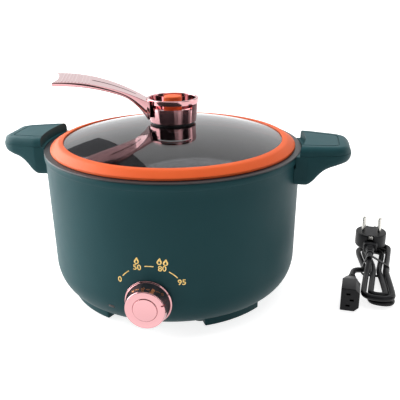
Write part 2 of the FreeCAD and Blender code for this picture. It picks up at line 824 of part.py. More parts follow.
def lid_ring():
    """Silicone rim that grips the glass's edge and rests on the pan's flange."""
    floor = rim_height + lid_lift_gap
    outer = ring_outer_radius
    inner = ring_inner_radius
    skirt = pan_mouth_radius - ring_skirt_clearance
    skirt_low = skirt - pan_slant * ring_skirt_depth
    band = turned([
        (inner, glass_height(inner) - 0.4),
        (inner + 0.3, glass_height(inner) + ring_lap),
        ((128.5, glass_height(128.5) + ring_lap + 1.1), (outer - 1.6, rim_height + ring_side + 1.6)),
        ((outer - 0.3, rim_height + ring_side + 0.9), (outer, rim_height + ring_side - 0.6)),
        (outer, floor),
        (skirt, floor),
        (skirt_low, floor - ring_skirt_depth),
        (skirt_low - ring_skirt_sheet + 1, floor - ring_skirt_depth),
        (skirt - ring_skirt_sheet, floor - 1.5),
        (inner + 1.5, glass_height(inner + 1.5, glass_sheet) - 2.2),
        (inner, glass_height(inner, glass_sheet) - 0.2),
    ])
    return band.cut(lid_glass())


def arm_curve(share):
    """Top line of the rest arm: height over the rim at a share of the way from the cup to the tip."""
    low = cup_top - 1.5
    rise = arm_tip_height - low
    return rim_height + low + rise * (1 - (1 - share) ** 2.1)


def arm_side():
    """Side profile of the arm in the XZ plane, from inside the cup's wall to its tip."""
    start = cup_top_radius
    stations = [0.0, 0.16, 0.32, 0.5, 0.68, 0.84, 1.0]
    top = [vec(start + (arm_reach - start) * s, 0, arm_curve(s)) for s in stations]
    under = [vec(p.x - (2.4 if p.x < 100 else 0.6), 0, p.z - arm_sheet) for p in top[1:]]
    under = [vec(start - 1.2, 0, rim_height + cup_bottom + 3), vec(start + 0.6, 0, rim_height + cup_bottom + 10)] + under
    upper, lower = Part.BSplineCurve(), Part.BSplineCurve()
    upper.interpolate(top)
    lower.interpolate(under)
    inside = [vec(start - cup_wall + 0.4, 0, top[0].z), vec(start - cup_wall + 0.4, 0, under[0].z)]
    edges = [upper.toShape(), lower.toShape()]
    edges.append(Part.LineSegment(top[-1], under[-1]).toShape())
    edges.append(Part.LineSegment(under[0], inside[1]).toShape())
    edges.append(Part.LineSegment(inside[1], inside[0]).toShape())
    edges.append(Part.LineSegment(inside[0], top[0]).toShape())
    return Part.Face(Part.Wire(Part.__sortEdges__(edges)))


def arm_plan():
    middle = (cup_top_radius + arm_reach) / 2
    return plan_face([
        (18, -arm_root_half + 1),
        (cup_top_radius, -arm_root_half),
        ((middle, -arm_mid_half), (arm_reach, -arm_tip_half)),
        ((arm_reach - arm_tip_hollow, 0), (arm_reach, arm_tip_half)),
        ((middle, arm_mid_half), (cup_top_radius, arm_root_half)),
        (18, arm_root_half - 1),
    ], rim_height)


def rest_arm():
    side = arm_side()
    side.translate(vec(0, -50))
    arm = side.extrude(vec(0, 100, 0)).common(arm_plan().extrude(vec(0, 0, 120)))
    highest = arm.BoundBox.ZMax
    top_edges = [e for e in arm.Edges if e.BoundBox.XLength > arm_reach / 2 and e.BoundBox.ZMax > highest - 0.5]
    arm = arm.makeFillet(arm_edge_round, top_edges)
    slot_start, slot_end = arm_slot_reach
    slot = block(slot_end - slot_start, arm_slot_width, 80, (slot_start + slot_end) / 2, 0, rim_height + 30)
    slot = slot.fuse(disc(arm_slot_width * 0.85, rim_height + 30, rim_height + 110, slot_end, 0))
    slot = slot.fuse(disc(arm_slot_width / 2, rim_height + 30, rim_height + 110, slot_start, 0))
    arm = arm.cut(slot)
    ribs = []
    for k in range(arm_rib_count):
        x = arm_reach - arm_tip_hollow - 4 - arm_rib_pitch * k
        share = (x - cup_top_radius) / (arm_reach - cup_top_radius)
        half = arm_mid_half + (arm_tip_half - arm_mid_half) * (2 * share - 1) - 4
        z = arm_curve(share) - arm_rib_radius * 0.45
        ribs.append(Part.makeCylinder(arm_rib_radius, 2 * half, vec(x, -half, z), vec(0, 1, 0)))
    return fused([arm] + ribs)


def lid_knob():
    low, top = rim_height + cup_bottom, rim_height + cup_top
    wall = cup_wall
    slope = (cup_top_radius - cup_bottom_radius) / (cup_top - cup_bottom)
    cup = turned([
        (tube_radius + 0.1, low),
        (cup_bottom_radius - 0.8, low),
        ((cup_bottom_radius - 0.2, low + 0.3), (cup_bottom_radius, low + 1)),
        (cup_top_radius - 0.5, top - 6.5),
        (cup_top_radius, top - 5.5),
        (cup_top_radius + 0.2, top - 1),
        ((cup_top_radius - 0.2, top - 0.3), (cup_top_radius - 0.8, top)),
        (cup_top_radius - wall + 0.6, top),
        ((cup_top_radius - wall + 0.1, top - 0.2), (cup_top_radius - wall, top - 1)),
        (cup_bottom_radius - wall + slope * cup_floor, low + cup_floor),
        (tube_radius + 0.1, low + cup_floor),
    ])
    slot_low = top - cup_slot_drop - cup_slot_height
    wedge = ring(cup_top_radius + 6, cup_bottom_radius - wall - 2, slot_low, slot_low + cup_slot_height)
    keep = math.radians(cup_slot_angle / 2)
    far = 60.0
    sector = plan_face([(0, 0), (far * math.cos(keep), -far * math.sin(keep)), (far * 1.8, 0),
                        (far * math.cos(keep), far * math.sin(keep))], slot_low)
    wedge = around(wedge.common(sector.extrude(vec(0, 0, cup_slot_height))), 279.2)
    return fused([cup, around(rest_arm(), arm_turn)]).cut(wedge)


def knob_gasket():
    """Soft washer between the cup and the glass, dished to the glass."""
    low = rim_height + cup_bottom
    outer = cup_bottom_radius - 2
    inner = tube_radius + 0.2
    middle = (outer + inner) / 2
    return turned([
        (inner, low),
        (outer, low),
        (outer, glass_height(outer) + seat_gap),
        ((middle, glass_height(middle) + seat_gap), (inner, glass_height(inner) + seat_gap)),
    ])


def vent_tube():
    """Threaded tube that clamps the knob through the glass and lets steam out."""
    high = rim_height + cup_bottom + cup_floor
    low = glass_height(washer_radius, glass_sheet + seat_gap) - washer_sheet - lid_nut_height - 3
    flange = disc(tube_radius + 3, high, high + 2)
    stem = disc(tube_radius, low, high)
    neck = disc(4.6, high + 2, rim_height + cup_top - 8)
    return fused([flange, stem, neck]).cut(disc(tube_bore_radius, low - 1, rim_height + cup_top))


def lid_washer():
    inner = tube_radius + 0.1
    outer = washer_radius
    middle = (inner + outer) / 2
    sheet = glass_sheet + seat_gap
    low = glass_height(outer, sheet) - washer_sheet
    return turned([
        (inner, low),
        (outer, low),
        (outer, glass_height(outer, sheet)),
        ((middle, glass_height(middle, sheet)), (inner, glass_height(inner, sheet))),
    ])


def lid_nut():
    high = glass_height(washer_radius, glass_sheet + seat_gap) - washer_sheet
    nut = hexagon(lid_nut_flats, high - lid_nut_height, high)
    return nut.cut(disc(tube_radius, high - lid_nut_height - 1, high + 1))


def steam_cap():
    """Silicone cap that rests over the vent tube and lifts when steam blows."""
    seat = rim_height + cup_bottom + cup_floor + 2 + cap_seat_gap
    top = rim_height + cup_top + cap_rise
    cap = turned([
        (0, seat),
        (cap_radius, seat),
        (cap_radius, top - 1.2),
        ((cap_radius - 0.35, top - 0.35), (cap_radius - 1.2, top)),
        (0, top),
    ])
    hollow = disc(4.6 + cap_clearance, seat - 1, rim_height + cup_top - 8 + 4.5)
    cap = cap.cut(hollow)
    for k in range(4):
        notch = block(12, 3, 3, cap_radius, 0, seat - 1)
        cap = cap.cut(around(notch, 45 + 90 * k))
    return cap


def bend_between(p, t, q, s):
    """Two arcs that leave p along t and arrive at q along s, as edges with their radii."""
    v = q - p
    both = t + s
    turn = 1 - t.dot(s)
    if turn > 1e-9:
        reach = (-v.dot(both) + math.sqrt(v.dot(both) ** 2 + 2 * turn * v.dot(v))) / (2 * turn)
    else:
        reach = v.dot(v) / (4 * v.dot(s))
    joint = (p + q + (t - s) * reach) * 0.5
    return [bend(p, joint, leaving=t), bend(joint, q, arriving=s)]


def bend(here, there, leaving=None, arriving=None):
    """One arc between two points and its radius, from its heading at the start or at the end."""
    chord = there - here
    length = chord.Length
    along = chord * (1 / length)
    known = leaving or arriving
    across = known - along * known.dot(along)
    if across.Length < 1e-7:
        return Part.LineSegment(here, there).toShape(), float("inf")
    half = math.atan2(across.Length, known.dot(along))
    radius = length / (2 * math.sin(half))
    bulge = length / 2 * math.tan(half / 2) / across.Length
    middle = here + chord * 0.5 + across * (bulge if leaving else -bulge)
    return Part.Arc(here, middle, there).toShape(), radius


def hank_stations():
    """Points and headings of the hank's centreline, from the connector to the plug, in its own frame."""
    step = 2 * cord_radius + cord_gap
    low = cord_radius + hank_lift
    high = low + step
    ahead, back, right, left = vec(0, 1), vec(0, -1), vec(1, 0), vec(-1, 0)
    exit_y = connector_end + connector_size[1] + connector_relief
    first = vec(connector_place, exit_y, connector_size[2] / 2)
    spots = [(first, ahead), (first + ahead * (2 * cord_radius), ahead)]
    entry_heading = vec(-entry_slope, 1)
    entry_heading.normalize()
    half_turns = 2 * hank_loops
    for k in range(half_turns + 1):
        turn = k / 2
        inward = min(turn, hank_loops - turn) * step
        middle = k == hank_loops
        z = low if k < hank_loops else high
        level = (low + high) / 2 if middle else z
        on_left = k % 2 == 0
        side = -1 if on_left else 1
        waist = vec(side * (hank_waist_half - inward), 0, level)
        top = vec(side * (hank_top_half - inward), hank_top_reach, low if middle else z)
        foot = vec(hank_foot_shift + side * (hank_foot_half - inward), hank_foot_reach, high if middle else z)
        if on_left:
            if k > 0:
                spots.append((foot, ahead))
            if k == 0:
                spots.append((waist + vec(*entry_place), entry_heading))
            elif k == half_turns:
                spots.append((waist + vec(*exit_place), ahead))
            else:
                spots.append((waist, ahead))
            if k < half_turns:
                spots.append((top, ahead))
                opposite = hank_top_half - min(turn + 0.5, hank_loops - turn - 0.5) * step
                apex = (top.x + opposite) / 2
                reach = (opposite - top.x) / 2
                spots.append((vec(apex, hank_top_reach + reach, top.z), right))
        else:
            spots.append((top, back))
            spots.append((waist, back))
            spots.append((foot, back))
            opposite = hank_foot_shift - hank_foot_half + min(turn + 0.5, hank_loops - turn - 0.5) * step
            apex = (foot.x + opposite) / 2
            reach = (foot.x - opposite) / 2
            spots.append((vec(apex, hank_foot_reach - reach, foot.z), left))
    last = vec(plug_centre[0], plug_centre[1] - plug_radius - plug_relief, plug_floor() + plug_cord_height)
    spots += [(last - ahead * (2 * cord_radius), ahead), (last, ahead)]
    return spots


def plug_floor():
    """Height of the plug's back, lying on the hank's upper layer."""
    return hank_lift + 4 * cord_radius + cord_gap + seat_gap


def laid(shape):
    """A copy moved from the hank's own frame to its place beside the pot."""
    copy = shape.copy()
    copy.rotate(vec(0, 0), up, hank_turn)
    copy.translate(vec(hank_centre[0], hank_centre[1]))
    return copy


def lead_hank():
    spots = hank_stations()
    edges, radii = [], []
    for (p, t), (q, s) in zip(spots, spots[1:]):
        for edge, radius in bend_between(p, t, q, s):
            edges.append(edge)
            radii.append(radius)
    path = Part.Wire(Part.__sortEdges__(edges))
    start, heading = spots[0]
    profile = Part.Wire(Part.makeCircle(cord_radius, start, heading))
    tube = path.makePipeShell([profile], True, False)
    report_cord(edges, radii, tube)
    return laid(tube)


def report_cord(edges, radii, tube):
    """Prints the cord's length, tightest bends, least gap to itself, and its volume against its length."""
    points, along = [], []
    run = 0.0
    for edge in edges:
        count = max(2, int(edge.Length / 2.0))
        for p in edge.discretize(count)[:-1]:
            points.append(p)
            along.append(run)
            run += edge.Length / (count - 1)
    least = 1e9
    for i in range(len(points)):
        for j in range(i + 1, len(points)):
            if along[j] - along[i] > 8 * cord_radius:
                least = min(least, points[i].distanceToPoint(points[j]))
    length = sum(edge.Length for edge in edges)
    expected = math.pi * cord_radius ** 2 * length
    print("cord length", round(length), "mm, radii", sorted(round(r, 1) for r in radii if r < 60))
    print("cord least gap to itself", round(least - 2 * cord_radius, 2), "mm, volume share", round(tube.Volume / expected, 4))


def ribbed_relief(length, thick, thin):
    """Tapered strain relief on the Z axis, from its root at 0 to the cord."""
    body = turned([(0, 0), (thick, 0), (thin, length), (0, length)])
    rings = []
    for k in range(4):
        z = length * (0.16 + 0.2 * k)
        rings.append(ring(thick + 2, thick - (thick - thin) * (z / length) - 0.9, z, z + length * 0.08))
    for groove in rings:
        body = body.cut(groove)
    return body


def lead_connector():
    """Moulded appliance connector, lying on its side."""
    wide, long, tall = connector_size
    snip = 5.0
    outline = [(-wide / 2, 0), (wide / 2 - snip, 0), (wide / 2, snip), (wide / 2, tall - snip),
               (wide / 2 - snip, tall), (-wide / 2, tall)]
    face = Part.Face(Part.Wire(edges_through(outline, lambda p: vec(p[0], 0, p[1]))))
    body = face.extrude(vec(0, long - 16, 0))
    small = [(x * 0.62, tall / 2 + (z - tall / 2) * 0.6) for x, z in outline]
    near = Part.Wire(edges_through(outline, lambda p: vec(p[0], long - 16, p[1])))
    far = Part.Wire(edges_through(small, lambda p: vec(p[0], long, p[1])))
    shoulder = Part.makeLoft([near, far], True, True)
    relief = ribbed_relief(connector_relief, 6.2, cord_radius + 0.9)
    relief.rotate(vec(0, 0), vec(1, 0, 0), -90)
    relief.translate(vec(0, long, tall / 2))
    connector = fused([body, shoulder, relief])
    for across, rise in ((-2, -7), (2, 0), (-2, 7)):
        slot = block(4.4, 34, 2.4, across, 0, tall / 2 + rise - 1.2)
        connector = connector.cut(slot)
    connector.translate(vec(connector_place, connector_end))
    return laid(connector)


def lead_plug():
    """Round angled plug lying on its back, with its cord leaving sideways."""
    low = plug_floor()
    body = turned([
        (0, low),
        (plug_radius - 5, low),
        ((plug_radius - 1.5, low + 1.5), (plug_radius, low + 5)),
        (plug_radius, low + plug_depth - 1.2),
        (plug_radius - 1.2, low + plug_depth),
        (0, low + plug_depth),
    ])
    neck = block(17, 16, 13, 0, -plug_radius + 6, low + 0.6)
    neck = neck.makeFillet(4, [e for e in neck.Edges if abs(e.tangentAt(0).y) > 0.9])
    relief = ribbed_relief(plug_relief, 5.9, cord_radius + 0.9)
    relief.rotate(vec(0, 0), vec(1, 0, 0), 90)
    relief.translate(vec(0, -plug_radius, low + plug_cord_height))
    plug = fused([body, neck, relief])
    for side in (-1, 1):
        plug = plug.cut(block(7, 5, plug_depth + 2, 0, side * (plug_radius - 1), low + 6))
        plug = plug.cut(disc(plug_pin_radius, low + 6, low + plug_depth + 1, side * plug_pin_pitch / 2, 0))
    plug.translate(vec(plug_centre[0], plug_centre[1]))
    return laid(plug)


def plug_pins():
    top = plug_floor() + plug_depth
    pins = []
    for side in (-1, 1):
        pin = disc(plug_pin_radius, top - 14, top + plug_pin_length, side * plug_pin_pitch / 2, 0)
        edge = [e for e in pin.Edges if e.BoundBox.ZMin > top + plug_pin_length - 0.1]
        pins.append(pin.makeChamfer(1.0, edge))
    for side in (-1, 1):
        clip = block(5, 1.2, plug_depth - 7, 0, side * (plug_radius - 2.9), plug_floor() + 6)
        pins.append(clip)
    whole = Part.makeCompound(pins)
    whole.translate(vec(plug_centre[0], plug_centre[1]))
    return laid(whole)


def lead_tie():
    """Flat band drawn round the hank's waist."""
    edges = [pair[0] for here, there in zip(hank_stations(), hank_stations()[1:]) for pair in bend_between(*here, *there)]
    spots = []
    for edge in edges:
        ends = edge.valueAt(edge.FirstParameter), edge.valueAt(edge.LastParameter)
        if (ends[0].y - tie_place) * (ends[1].y - tie_place) < 0:
            spots += [vec(p.x, 0, p.z) for p in edge.discretize(40) if abs(p.y - tie_place) < tie_width]
    outline = hull(spots)
    outline.append(outline[0])
    middle = Part.Face(Part.makePolygon(outline))
    inside = middle.makeOffset2D(cord_radius + tie_gap)
    outside = middle.makeOffset2D(cord_radius + tie_gap + tie_sheet)
    band = outside.cut(inside).extrude(vec(0, tie_width, 0))
    band.translate(vec(0, tie_place - tie_width / 2))
    return laid(band)


def hull(spots):
    """The corners of the tightest outline round some points in the XZ plane, in order."""
    spots = sorted({(round(p.x, 4), round(p.z, 4)) for p in spots})

    def chain(points):
        kept = []
        for p in points:
            while len(kept) > 1:
                a, b = kept[-2], kept[-1]
                if (b[0] - a[0]) * (p[1] - a[1]) - (b[1] - a[1]) * (p[0] - a[0]) > 1e-3:
                    break
                kept.pop()
            kept.append(p)
        return kept[:-1]

    return [vec(x, 0, z) for x, z in chain(spots) + chain(spots[::-1])]


def main():
    os.makedirs("parts", exist_ok=True)
    save("outer_shell", outer_shell())
    save("inner_pot", inner_pot())
    save("bottom_cover", bottom_cover())
    save("foot_pads", foot_pads())
    save("bottom_screws", bottom_screws())
    upper, lower = handle_pieces()
    save("right_handle_top", upper)
    save("right_handle_base", lower)
    save("left_handle_top", around(upper, 180))
    save("left_handle_base", around(lower, 180))
    save("handle_screws", handle_screws())
    save("dial_knob", dial_knob())
    save("dial_disc", dial_disc())
    save("thermostat_shaft", thermostat_shaft())
    save("thermostat", thermostat())
    save("thermostat_bracket", thermostat_bracket())
    save("inlet_socket", inlet_socket())
    save("inlet_pins", inlet_pins())
    save("inlet_screws", inlet_screws())
    save("indicator_lens", indicator_lens())
    save("indicator_lamp", indicator_lamp())
    save("heating_element", heating_element())
    save("heat_shield", heat_shield())
    save("pan_studs", pan_studs())
    save("stud_nuts", stud_nuts())
    save("thermal_fuse", thermal_fuse())
    save("lid_glass", lid_glass())
    save("lid_ring", lid_ring())
    save("lid_knob", lid_knob())
    save("knob_gasket", knob_gasket())
    save("vent_tube", vent_tube())
    save("lid_washer", lid_washer())
    save("lid_nut", lid_nut())
    save("steam_cap", steam_cap())
    save("lead_connector", lead_connector())
    save("lead_hank", lead_hank())
    save("lead_plug", lead_plug())
    save("plug_pins", plug_pins())
    save("lead_tie", lead_tie())


if __name__ == "__main__":
    main()
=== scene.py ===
import math

import bmesh
import bpy
from mathutils import Matrix, Vector


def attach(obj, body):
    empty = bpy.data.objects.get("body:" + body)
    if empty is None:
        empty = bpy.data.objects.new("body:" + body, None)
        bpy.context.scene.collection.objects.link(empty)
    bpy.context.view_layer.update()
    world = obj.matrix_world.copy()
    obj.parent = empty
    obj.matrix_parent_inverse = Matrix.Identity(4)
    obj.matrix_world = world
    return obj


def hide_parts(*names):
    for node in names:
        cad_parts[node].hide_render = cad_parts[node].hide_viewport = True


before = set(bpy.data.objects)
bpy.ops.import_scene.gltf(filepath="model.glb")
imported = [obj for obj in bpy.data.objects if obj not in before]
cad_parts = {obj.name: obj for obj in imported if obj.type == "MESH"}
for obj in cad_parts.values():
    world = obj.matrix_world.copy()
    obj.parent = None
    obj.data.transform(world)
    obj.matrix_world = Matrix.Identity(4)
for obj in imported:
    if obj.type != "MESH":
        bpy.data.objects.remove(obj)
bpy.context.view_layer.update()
scene = bpy.context.scene
scene.view_settings.view_transform = "Standard"
mm = 0.001
print("frame loaded")


# Camera, at the photograph's viewing angle
camera = {
    "lens": 53.66, "sensor": 36.0, "place": (133.7, -642.1, 344.7),
    "turn": 9.2, "tilt": 20.6, "roll": -0.5,
}


def turnAbout(axis, degrees):
    return Matrix.Rotation(math.radians(degrees), 4, axis)


def placeCamera():
    optics = bpy.data.cameras.new("camera")
    optics.lens = camera["lens"]
    optics.sensor_width = camera["sensor"]
    holder = bpy.data.objects.new("camera", optics)
    scene.collection.objects.link(holder)
    aim = turnAbout("Z", camera["turn"]) @ turnAbout("X", 90 - camera["tilt"])
    aim = aim @ turnAbout("Z", camera["roll"])
    holder.matrix_world = Matrix.Translation(Vector(camera["place"]) * mm) @ aim
    scene.camera = holder


placeCamera()


# Finishes
def tone(red, green, blue, share=1.0):
    # a screen colour, 0 to 255, as the shader's own linear colour
    def linear(c):
        c = c / 255
        return c / 12.92 if c <= 0.04045 else ((c + 0.055) / 1.055) ** 2.4
    return (linear(red) * share, linear(green) * share, linear(blue) * share, 1.0)


class Finish:
    def __init__(self, name, colour, roughness, metallic=0.0):
        self.material = bpy.data.materials.new(name)
        self.material.use_nodes = True
        self.nodes = self.material.node_tree.nodes
        self.links = self.material.node_tree.links
        self.shader = self.nodes["Principled BSDF"]
        self.set("Base Color", colour)
        self.set("Roughness", roughness)
        self.set("Metallic", metallic)
        self.coords = self.nodes.new("ShaderNodeTexCoord")

    def set(self, socket, value):
        self.shader.inputs[socket].default_value = value

    def link(self, output, socket):
        self.links.new(output, socket)

    def mapped(self, stretch):
        mapping = self.nodes.new("ShaderNodeMapping")
        mapping.inputs["Scale"].default_value = stretch
        self.link(self.coords.outputs["Object"], mapping.inputs["Vector"])
        return mapping.outputs["Vector"]

    def noise(self, scale, detail=2.0, stretch=(1, 1, 1)):
        noise = self.nodes.new("ShaderNodeTexNoise")
        noise.inputs["Scale"].default_value = scale
        noise.inputs["Detail"].default_value = detail
        self.link(self.mapped(stretch), noise.inputs["Vector"])
        return noise.outputs["Fac"]

    def ramp(self, source, stops):
        ramp = self.nodes.new("ShaderNodeValToRGB")
        for k, (spot, colour) in enumerate(stops):
            if k > 1:
                ramp.color_ramp.elements.new(spot)
            ramp.color_ramp.elements[k].position = spot
            ramp.color_ramp.elements[k].color = colour
        self.link(source, ramp.inputs["Fac"])
        return ramp.outputs["Color"]

    def vary(self, source, low, high):
        # roughness that wanders between two values
        spread = self.nodes.new("ShaderNodeMapRange")
        spread.inputs["To Min"].default_value = low
        spread.inputs["To Max"].default_value = high
        self.link(source, spread.inputs["Value"])
        self.link(spread.outputs["Result"], self.shader.inputs["Roughness"])

    def bump(self, source, depth, strength=1.0):
        bump = self.nodes.new("ShaderNodeBump")
        bump.inputs["Distance"].default_value = depth * mm
        bump.inputs["Strength"].default_value = strength
        self.link(source, bump.inputs["Height"])
        self.link(bump.outputs["Normal"], self.shader.inputs["Normal"])

    def mottle(self, source, light, dark):
        self.link(self.ramp(source, [(0.35, dark), (0.65, light)]), self.shader.inputs["Base Color"])


def greenCoat():
    # soft-touch lacquer, a fine grain with slow clouding
    f = Finish("greenCoat", tone(34, 74, 79), 0.47)
    f.set("Specular IOR Level", 0.13)
    f.mottle(f.noise(9, 3), tone(35, 76, 81), tone(33, 72, 77))
    f.vary(f.noise(60, 4), 0.42, 0.52)
    f.bump(f.noise(1500, 2), 0.03, 0.3)
    return f.material


def roseMetal():
    f = Finish("roseMetal", tone(207, 156, 159), 0.07, 1.0)
    f.vary(f.noise(80, 3), 0.045, 0.09)
    f.bump(f.noise(35, 2), 0.02, 0.12)
    return f.material


def orangeSilicone():
    f = Finish("orangeSilicone", tone(230, 98, 46), 0.5)
    f.set("Specular IOR Level", 0.25)
    f.mottle(f.noise(14, 3), tone(233, 101, 48), tone(227, 95, 44))
    f.bump(f.noise(900, 2), 0.03, 0.25)
    f.set("Subsurface Weight", 0.08)
    f.set("Subsurface Radius", (0.004, 0.0015, 0.0008))
    return f.material


def panCoat():
    # dark non-stick coating with light flecks
    f = Finish("panCoat", tone(70, 66, 64), 0.34, 0.35)
    fleck = f.nodes.new("ShaderNodeTexVoronoi")
    fleck.inputs["Scale"].default_value = 420
    f.link(f.mapped((1, 1, 1)), fleck.inputs["Vector"])
    colour = f.ramp(fleck.outputs["Distance"], [(0.0, tone(150, 146, 142)), (0.13, tone(74, 70, 68))])
    f.link(colour, f.shader.inputs["Base Color"])
    f.bump(f.noise(700, 3), 0.03, 0.3)
    return f.material


def rimMetal():
    f = Finish("rimMetal", tone(60, 60, 62), 0.4, 0.6)
    f.vary(f.noise(300, 3, (1, 1, 12)), 0.34, 0.46)
    f.bump(f.noise(500, 2, (1, 1, 10)), 0.02, 0.3)
    return f.material


def smokedGlass():
    f = Finish("smokedGlass", tone(150, 151, 156), 0.015)
    f.set("Transmission Weight", 1.0)
    f.set("IOR", 1.5)
    f.vary(f.noise(40, 2), 0.01, 0.025)
    return f.material


def blackRubber():
    f = Finish("blackRubber", tone(15, 15, 18), 0.4)
    f.set("Specular IOR Level", 0.22)
    f.mottle(f.noise(60, 3), tone(18, 18, 21), tone(13, 13, 16))
    f.vary(f.noise(200, 3), 0.32, 0.46)
    f.bump(f.noise(1200, 2), 0.03, 0.3)
    return f.material


def darkPlastic():
    f = Finish("darkPlastic", tone(34, 36, 38), 0.5)
    f.mottle(f.noise(40, 3), tone(38, 40, 42), tone(30, 32, 34))
    f.bump(f.noise(1100, 2), 0.04, 0.4)
    return f.material


def paleMoulding():
    f = Finish("paleMoulding", tone(222, 217, 204), 0.5)
    f.mottle(f.noise(50, 3), tone(226, 221, 208), tone(216, 211, 198))
    f.bump(f.noise(800, 2), 0.03, 0.3)
    return f.material


def turnedSteel():
    f = Finish("turnedSteel", tone(186, 186, 188), 0.3, 1.0)
    f.vary(f.noise(400, 4, (1, 1, 14)), 0.22, 0.4)
    f.bump(f.noise(600, 2, (1, 1, 12)), 0.02, 0.3)
    return f.material


def sheetSteel():
    f = Finish("sheetSteel", tone(196, 197, 199), 0.38, 1.0)
    f.mottle(f.noise(120, 5), tone(206, 207, 209), tone(180, 181, 184))
    f.vary(f.noise(90, 4), 0.3, 0.48)
    return f.material


def heatTintedSteel():
    f = Finish("heatTintedSteel", tone(96, 86, 80), 0.42, 0.9)
    f.mottle(f.noise(30, 4), tone(112, 98, 88), tone(70, 66, 72))
    return f.material


def contactBrass():
    f = Finish("contactBrass", tone(206, 178, 116), 0.28, 1.0)
    f.vary(f.noise(300, 3), 0.2, 0.36)
    return f.material


def platedPin():
    f = Finish("platedPin", tone(214, 212, 206), 0.18, 1.0)
    f.vary(f.noise(300, 3), 0.12, 0.24)
    return f.material


def printGold():
    f = Finish("printGold", tone(226, 194, 118), 0.32, 0.75)
    f.mottle(f.noise(500, 2), tone(236, 206, 134), tone(206, 170, 92))
    return f.material


def lampRed():
    f = Finish("lampRed", tone(34, 14, 16), 0.12)
    f.set("Transmission Weight", 0.35)
    f.set("Coat Weight", 0.25)
    f.bump(f.noise(300, 2), 0.03, 0.3)
    return f.material


def clearSilicone():
    f = Finish("clearSilicone", tone(204, 202, 198), 0.45)
    f.set("Subsurface Weight", 0.1)
    f.bump(f.noise(700, 2), 0.03, 0.3)
    return f.material


finishes = {make.__name__: make() for make in (
    greenCoat, roseMetal, orangeSilicone, panCoat, rimMetal, smokedGlass, blackRubber, darkPlastic,
    paleMoulding, turnedSteel, sheetSteel, heatTintedSteel, contactBrass, platedPin, printGold,
    lampRed, clearSilicone)}
print("finishes made")


# Mesh helpers
def softLine(corners, steps=6):
    # an outline from corners (across, up, radius), each rounded by an arc
    line = []
    count = len(corners)
    for k, (x, z, radius) in enumerate(corners):
        if not radius:
            line.append((x, z))
            continue
        here = Vector((x, z))
        before = (Vector(corners[k - 1][:2]) - here).normalized()
        after = (Vector(corners[(k + 1) % count][:2]) - here).normalized()
        half = before.angle(after) / 2
        centre = here + (before + after).normalized() * (radius / math.sin(half))
        first = here + before * (radius / math.tan(half)) - centre
        last = here + after * (radius / math.tan(half)) - centre
        for s in range(steps + 1):
            spoke = first.lerp(last, s / steps).normalized() * radius
            line.append(tuple(centre + spoke))
    return line


def wire(bm, line, place):
    # a closed run of edges
    verts = [bm.verts.new(place(*p)) for p in line]
    edges = [bm.edges.new(pair) for pair in zip(verts, verts[1:] + verts[:1])]
    return verts + edges


def spun(line, steps=128):
    # a closed outline of (radius, height) turned round the Z axis
    bm = bmesh.new()
    geom = wire(bm, line, lambda x, z: (x * mm, 0, z * mm))
    bmesh.ops.spin(bm, geom=geom, cent=(0, 0, 0), axis=(0, 0, 1), angle=2 * math.pi, steps=steps,
                   use_merge=True)
    bmesh.ops.remove_doubles(bm, verts=bm.verts, dist=1e-6)
    bmesh.ops.dissolve_degenerate(bm, dist=1e-7, edges=bm.edges)
    bmesh.ops.recalc_face_normals(bm, faces=bm.faces)
    return bm


def prism(line, low, high):
    # a flat outline in X and Y raised between two heights
    bm = bmesh.new()
    verts = [bm.verts.new((x * mm, y * mm, low * mm)) for x, y in line]
    face = bm.faces.new(verts)
    grown = bmesh.ops.extrude_face_region(bm, geom=[face])
    top = [g for g in grown["geom"] if isinstance(g, bmesh.types.BMVert)]
    bmesh.ops.translate(bm, vec=(0, 0, (high - low) * mm), verts=top)
    bmesh.ops.recalc_face_normals(bm, faces=bm.faces)
    return bm


def rod(radius, low, high, segments=32):
    bm = bmesh.new()
    bmesh.ops.create_cone(bm, cap_ends=True, segments=segments, radius1=radius * mm, radius2=radius * mm,
                          depth=(high - low) * mm)
    bmesh.ops.translate(bm, vec=(0, 0, (high + low) / 2 * mm), verts=bm.verts)
    return bm


def brick(size, centre, rounding=0.0, segments=3):
    bm = bmesh.new()
    bmesh.ops.create_cube(bm, size=1.0)
    bmesh.ops.scale(bm, vec=Vector(size) * mm, verts=bm.verts)
    if rounding:
        soften(bm, bm.edges, rounding, segments)
    bmesh.ops.translate(bm, vec=Vector(centre) * mm, verts=bm.verts)
    return bm


def soften(bm, edges, width, segments=3):
    bmesh.ops.bevel(bm, geom=list(edges), offset=width * mm, segments=segments, profile=0.5, affect="EDGES",
                    material=-1, clamp_overlap=True)


def moved(bm, matrix):
    bmesh.ops.transform(bm, matrix=matrix, verts=bm.verts)
    return bm


def shift(x, y, z):
    return Matrix.Translation(Vector((x, y, z)) * mm)


def merged(bm, other):
    # adds one bmesh to another as a separate closed shell
    mesh = bpy.data.meshes.new("part")
    other.to_mesh(mesh)
    other.free()
    bm.from_mesh(mesh)
    bpy.data.meshes.remove(mesh)
    return bm


def scratchObject(bm):
    mesh = bpy.data.meshes.new("scratch")
    bm.to_mesh(mesh)
    bm.free()
    thing = bpy.data.objects.new("scratch", mesh)
    scene.collection.objects.link(thing)
    return thing


def carved(bm, tool, how="DIFFERENCE"):
    # one solid cut by, joined to or kept within another
    base, cutter = scratchObject(bm), scratchObject(tool)
    cut = base.modifiers.new("cut", "BOOLEAN")
    cut.operation = how
    cut.object = cutter
    cut.solver = "EXACT"
    graph = bpy.context.evaluated_depsgraph_get()
    result = bmesh.new()
    result.from_mesh(base.evaluated_get(graph).to_mesh())
    for thing in (base, cutter):
        mesh = thing.data
        bpy.data.objects.remove(thing)
        bpy.data.meshes.remove(mesh)
    bmesh.ops.remove_doubles(result, verts=result.verts, dist=2e-6)
    bmesh.ops.dissolve_degenerate(result, dist=1e-6, edges=result.edges)
    return result


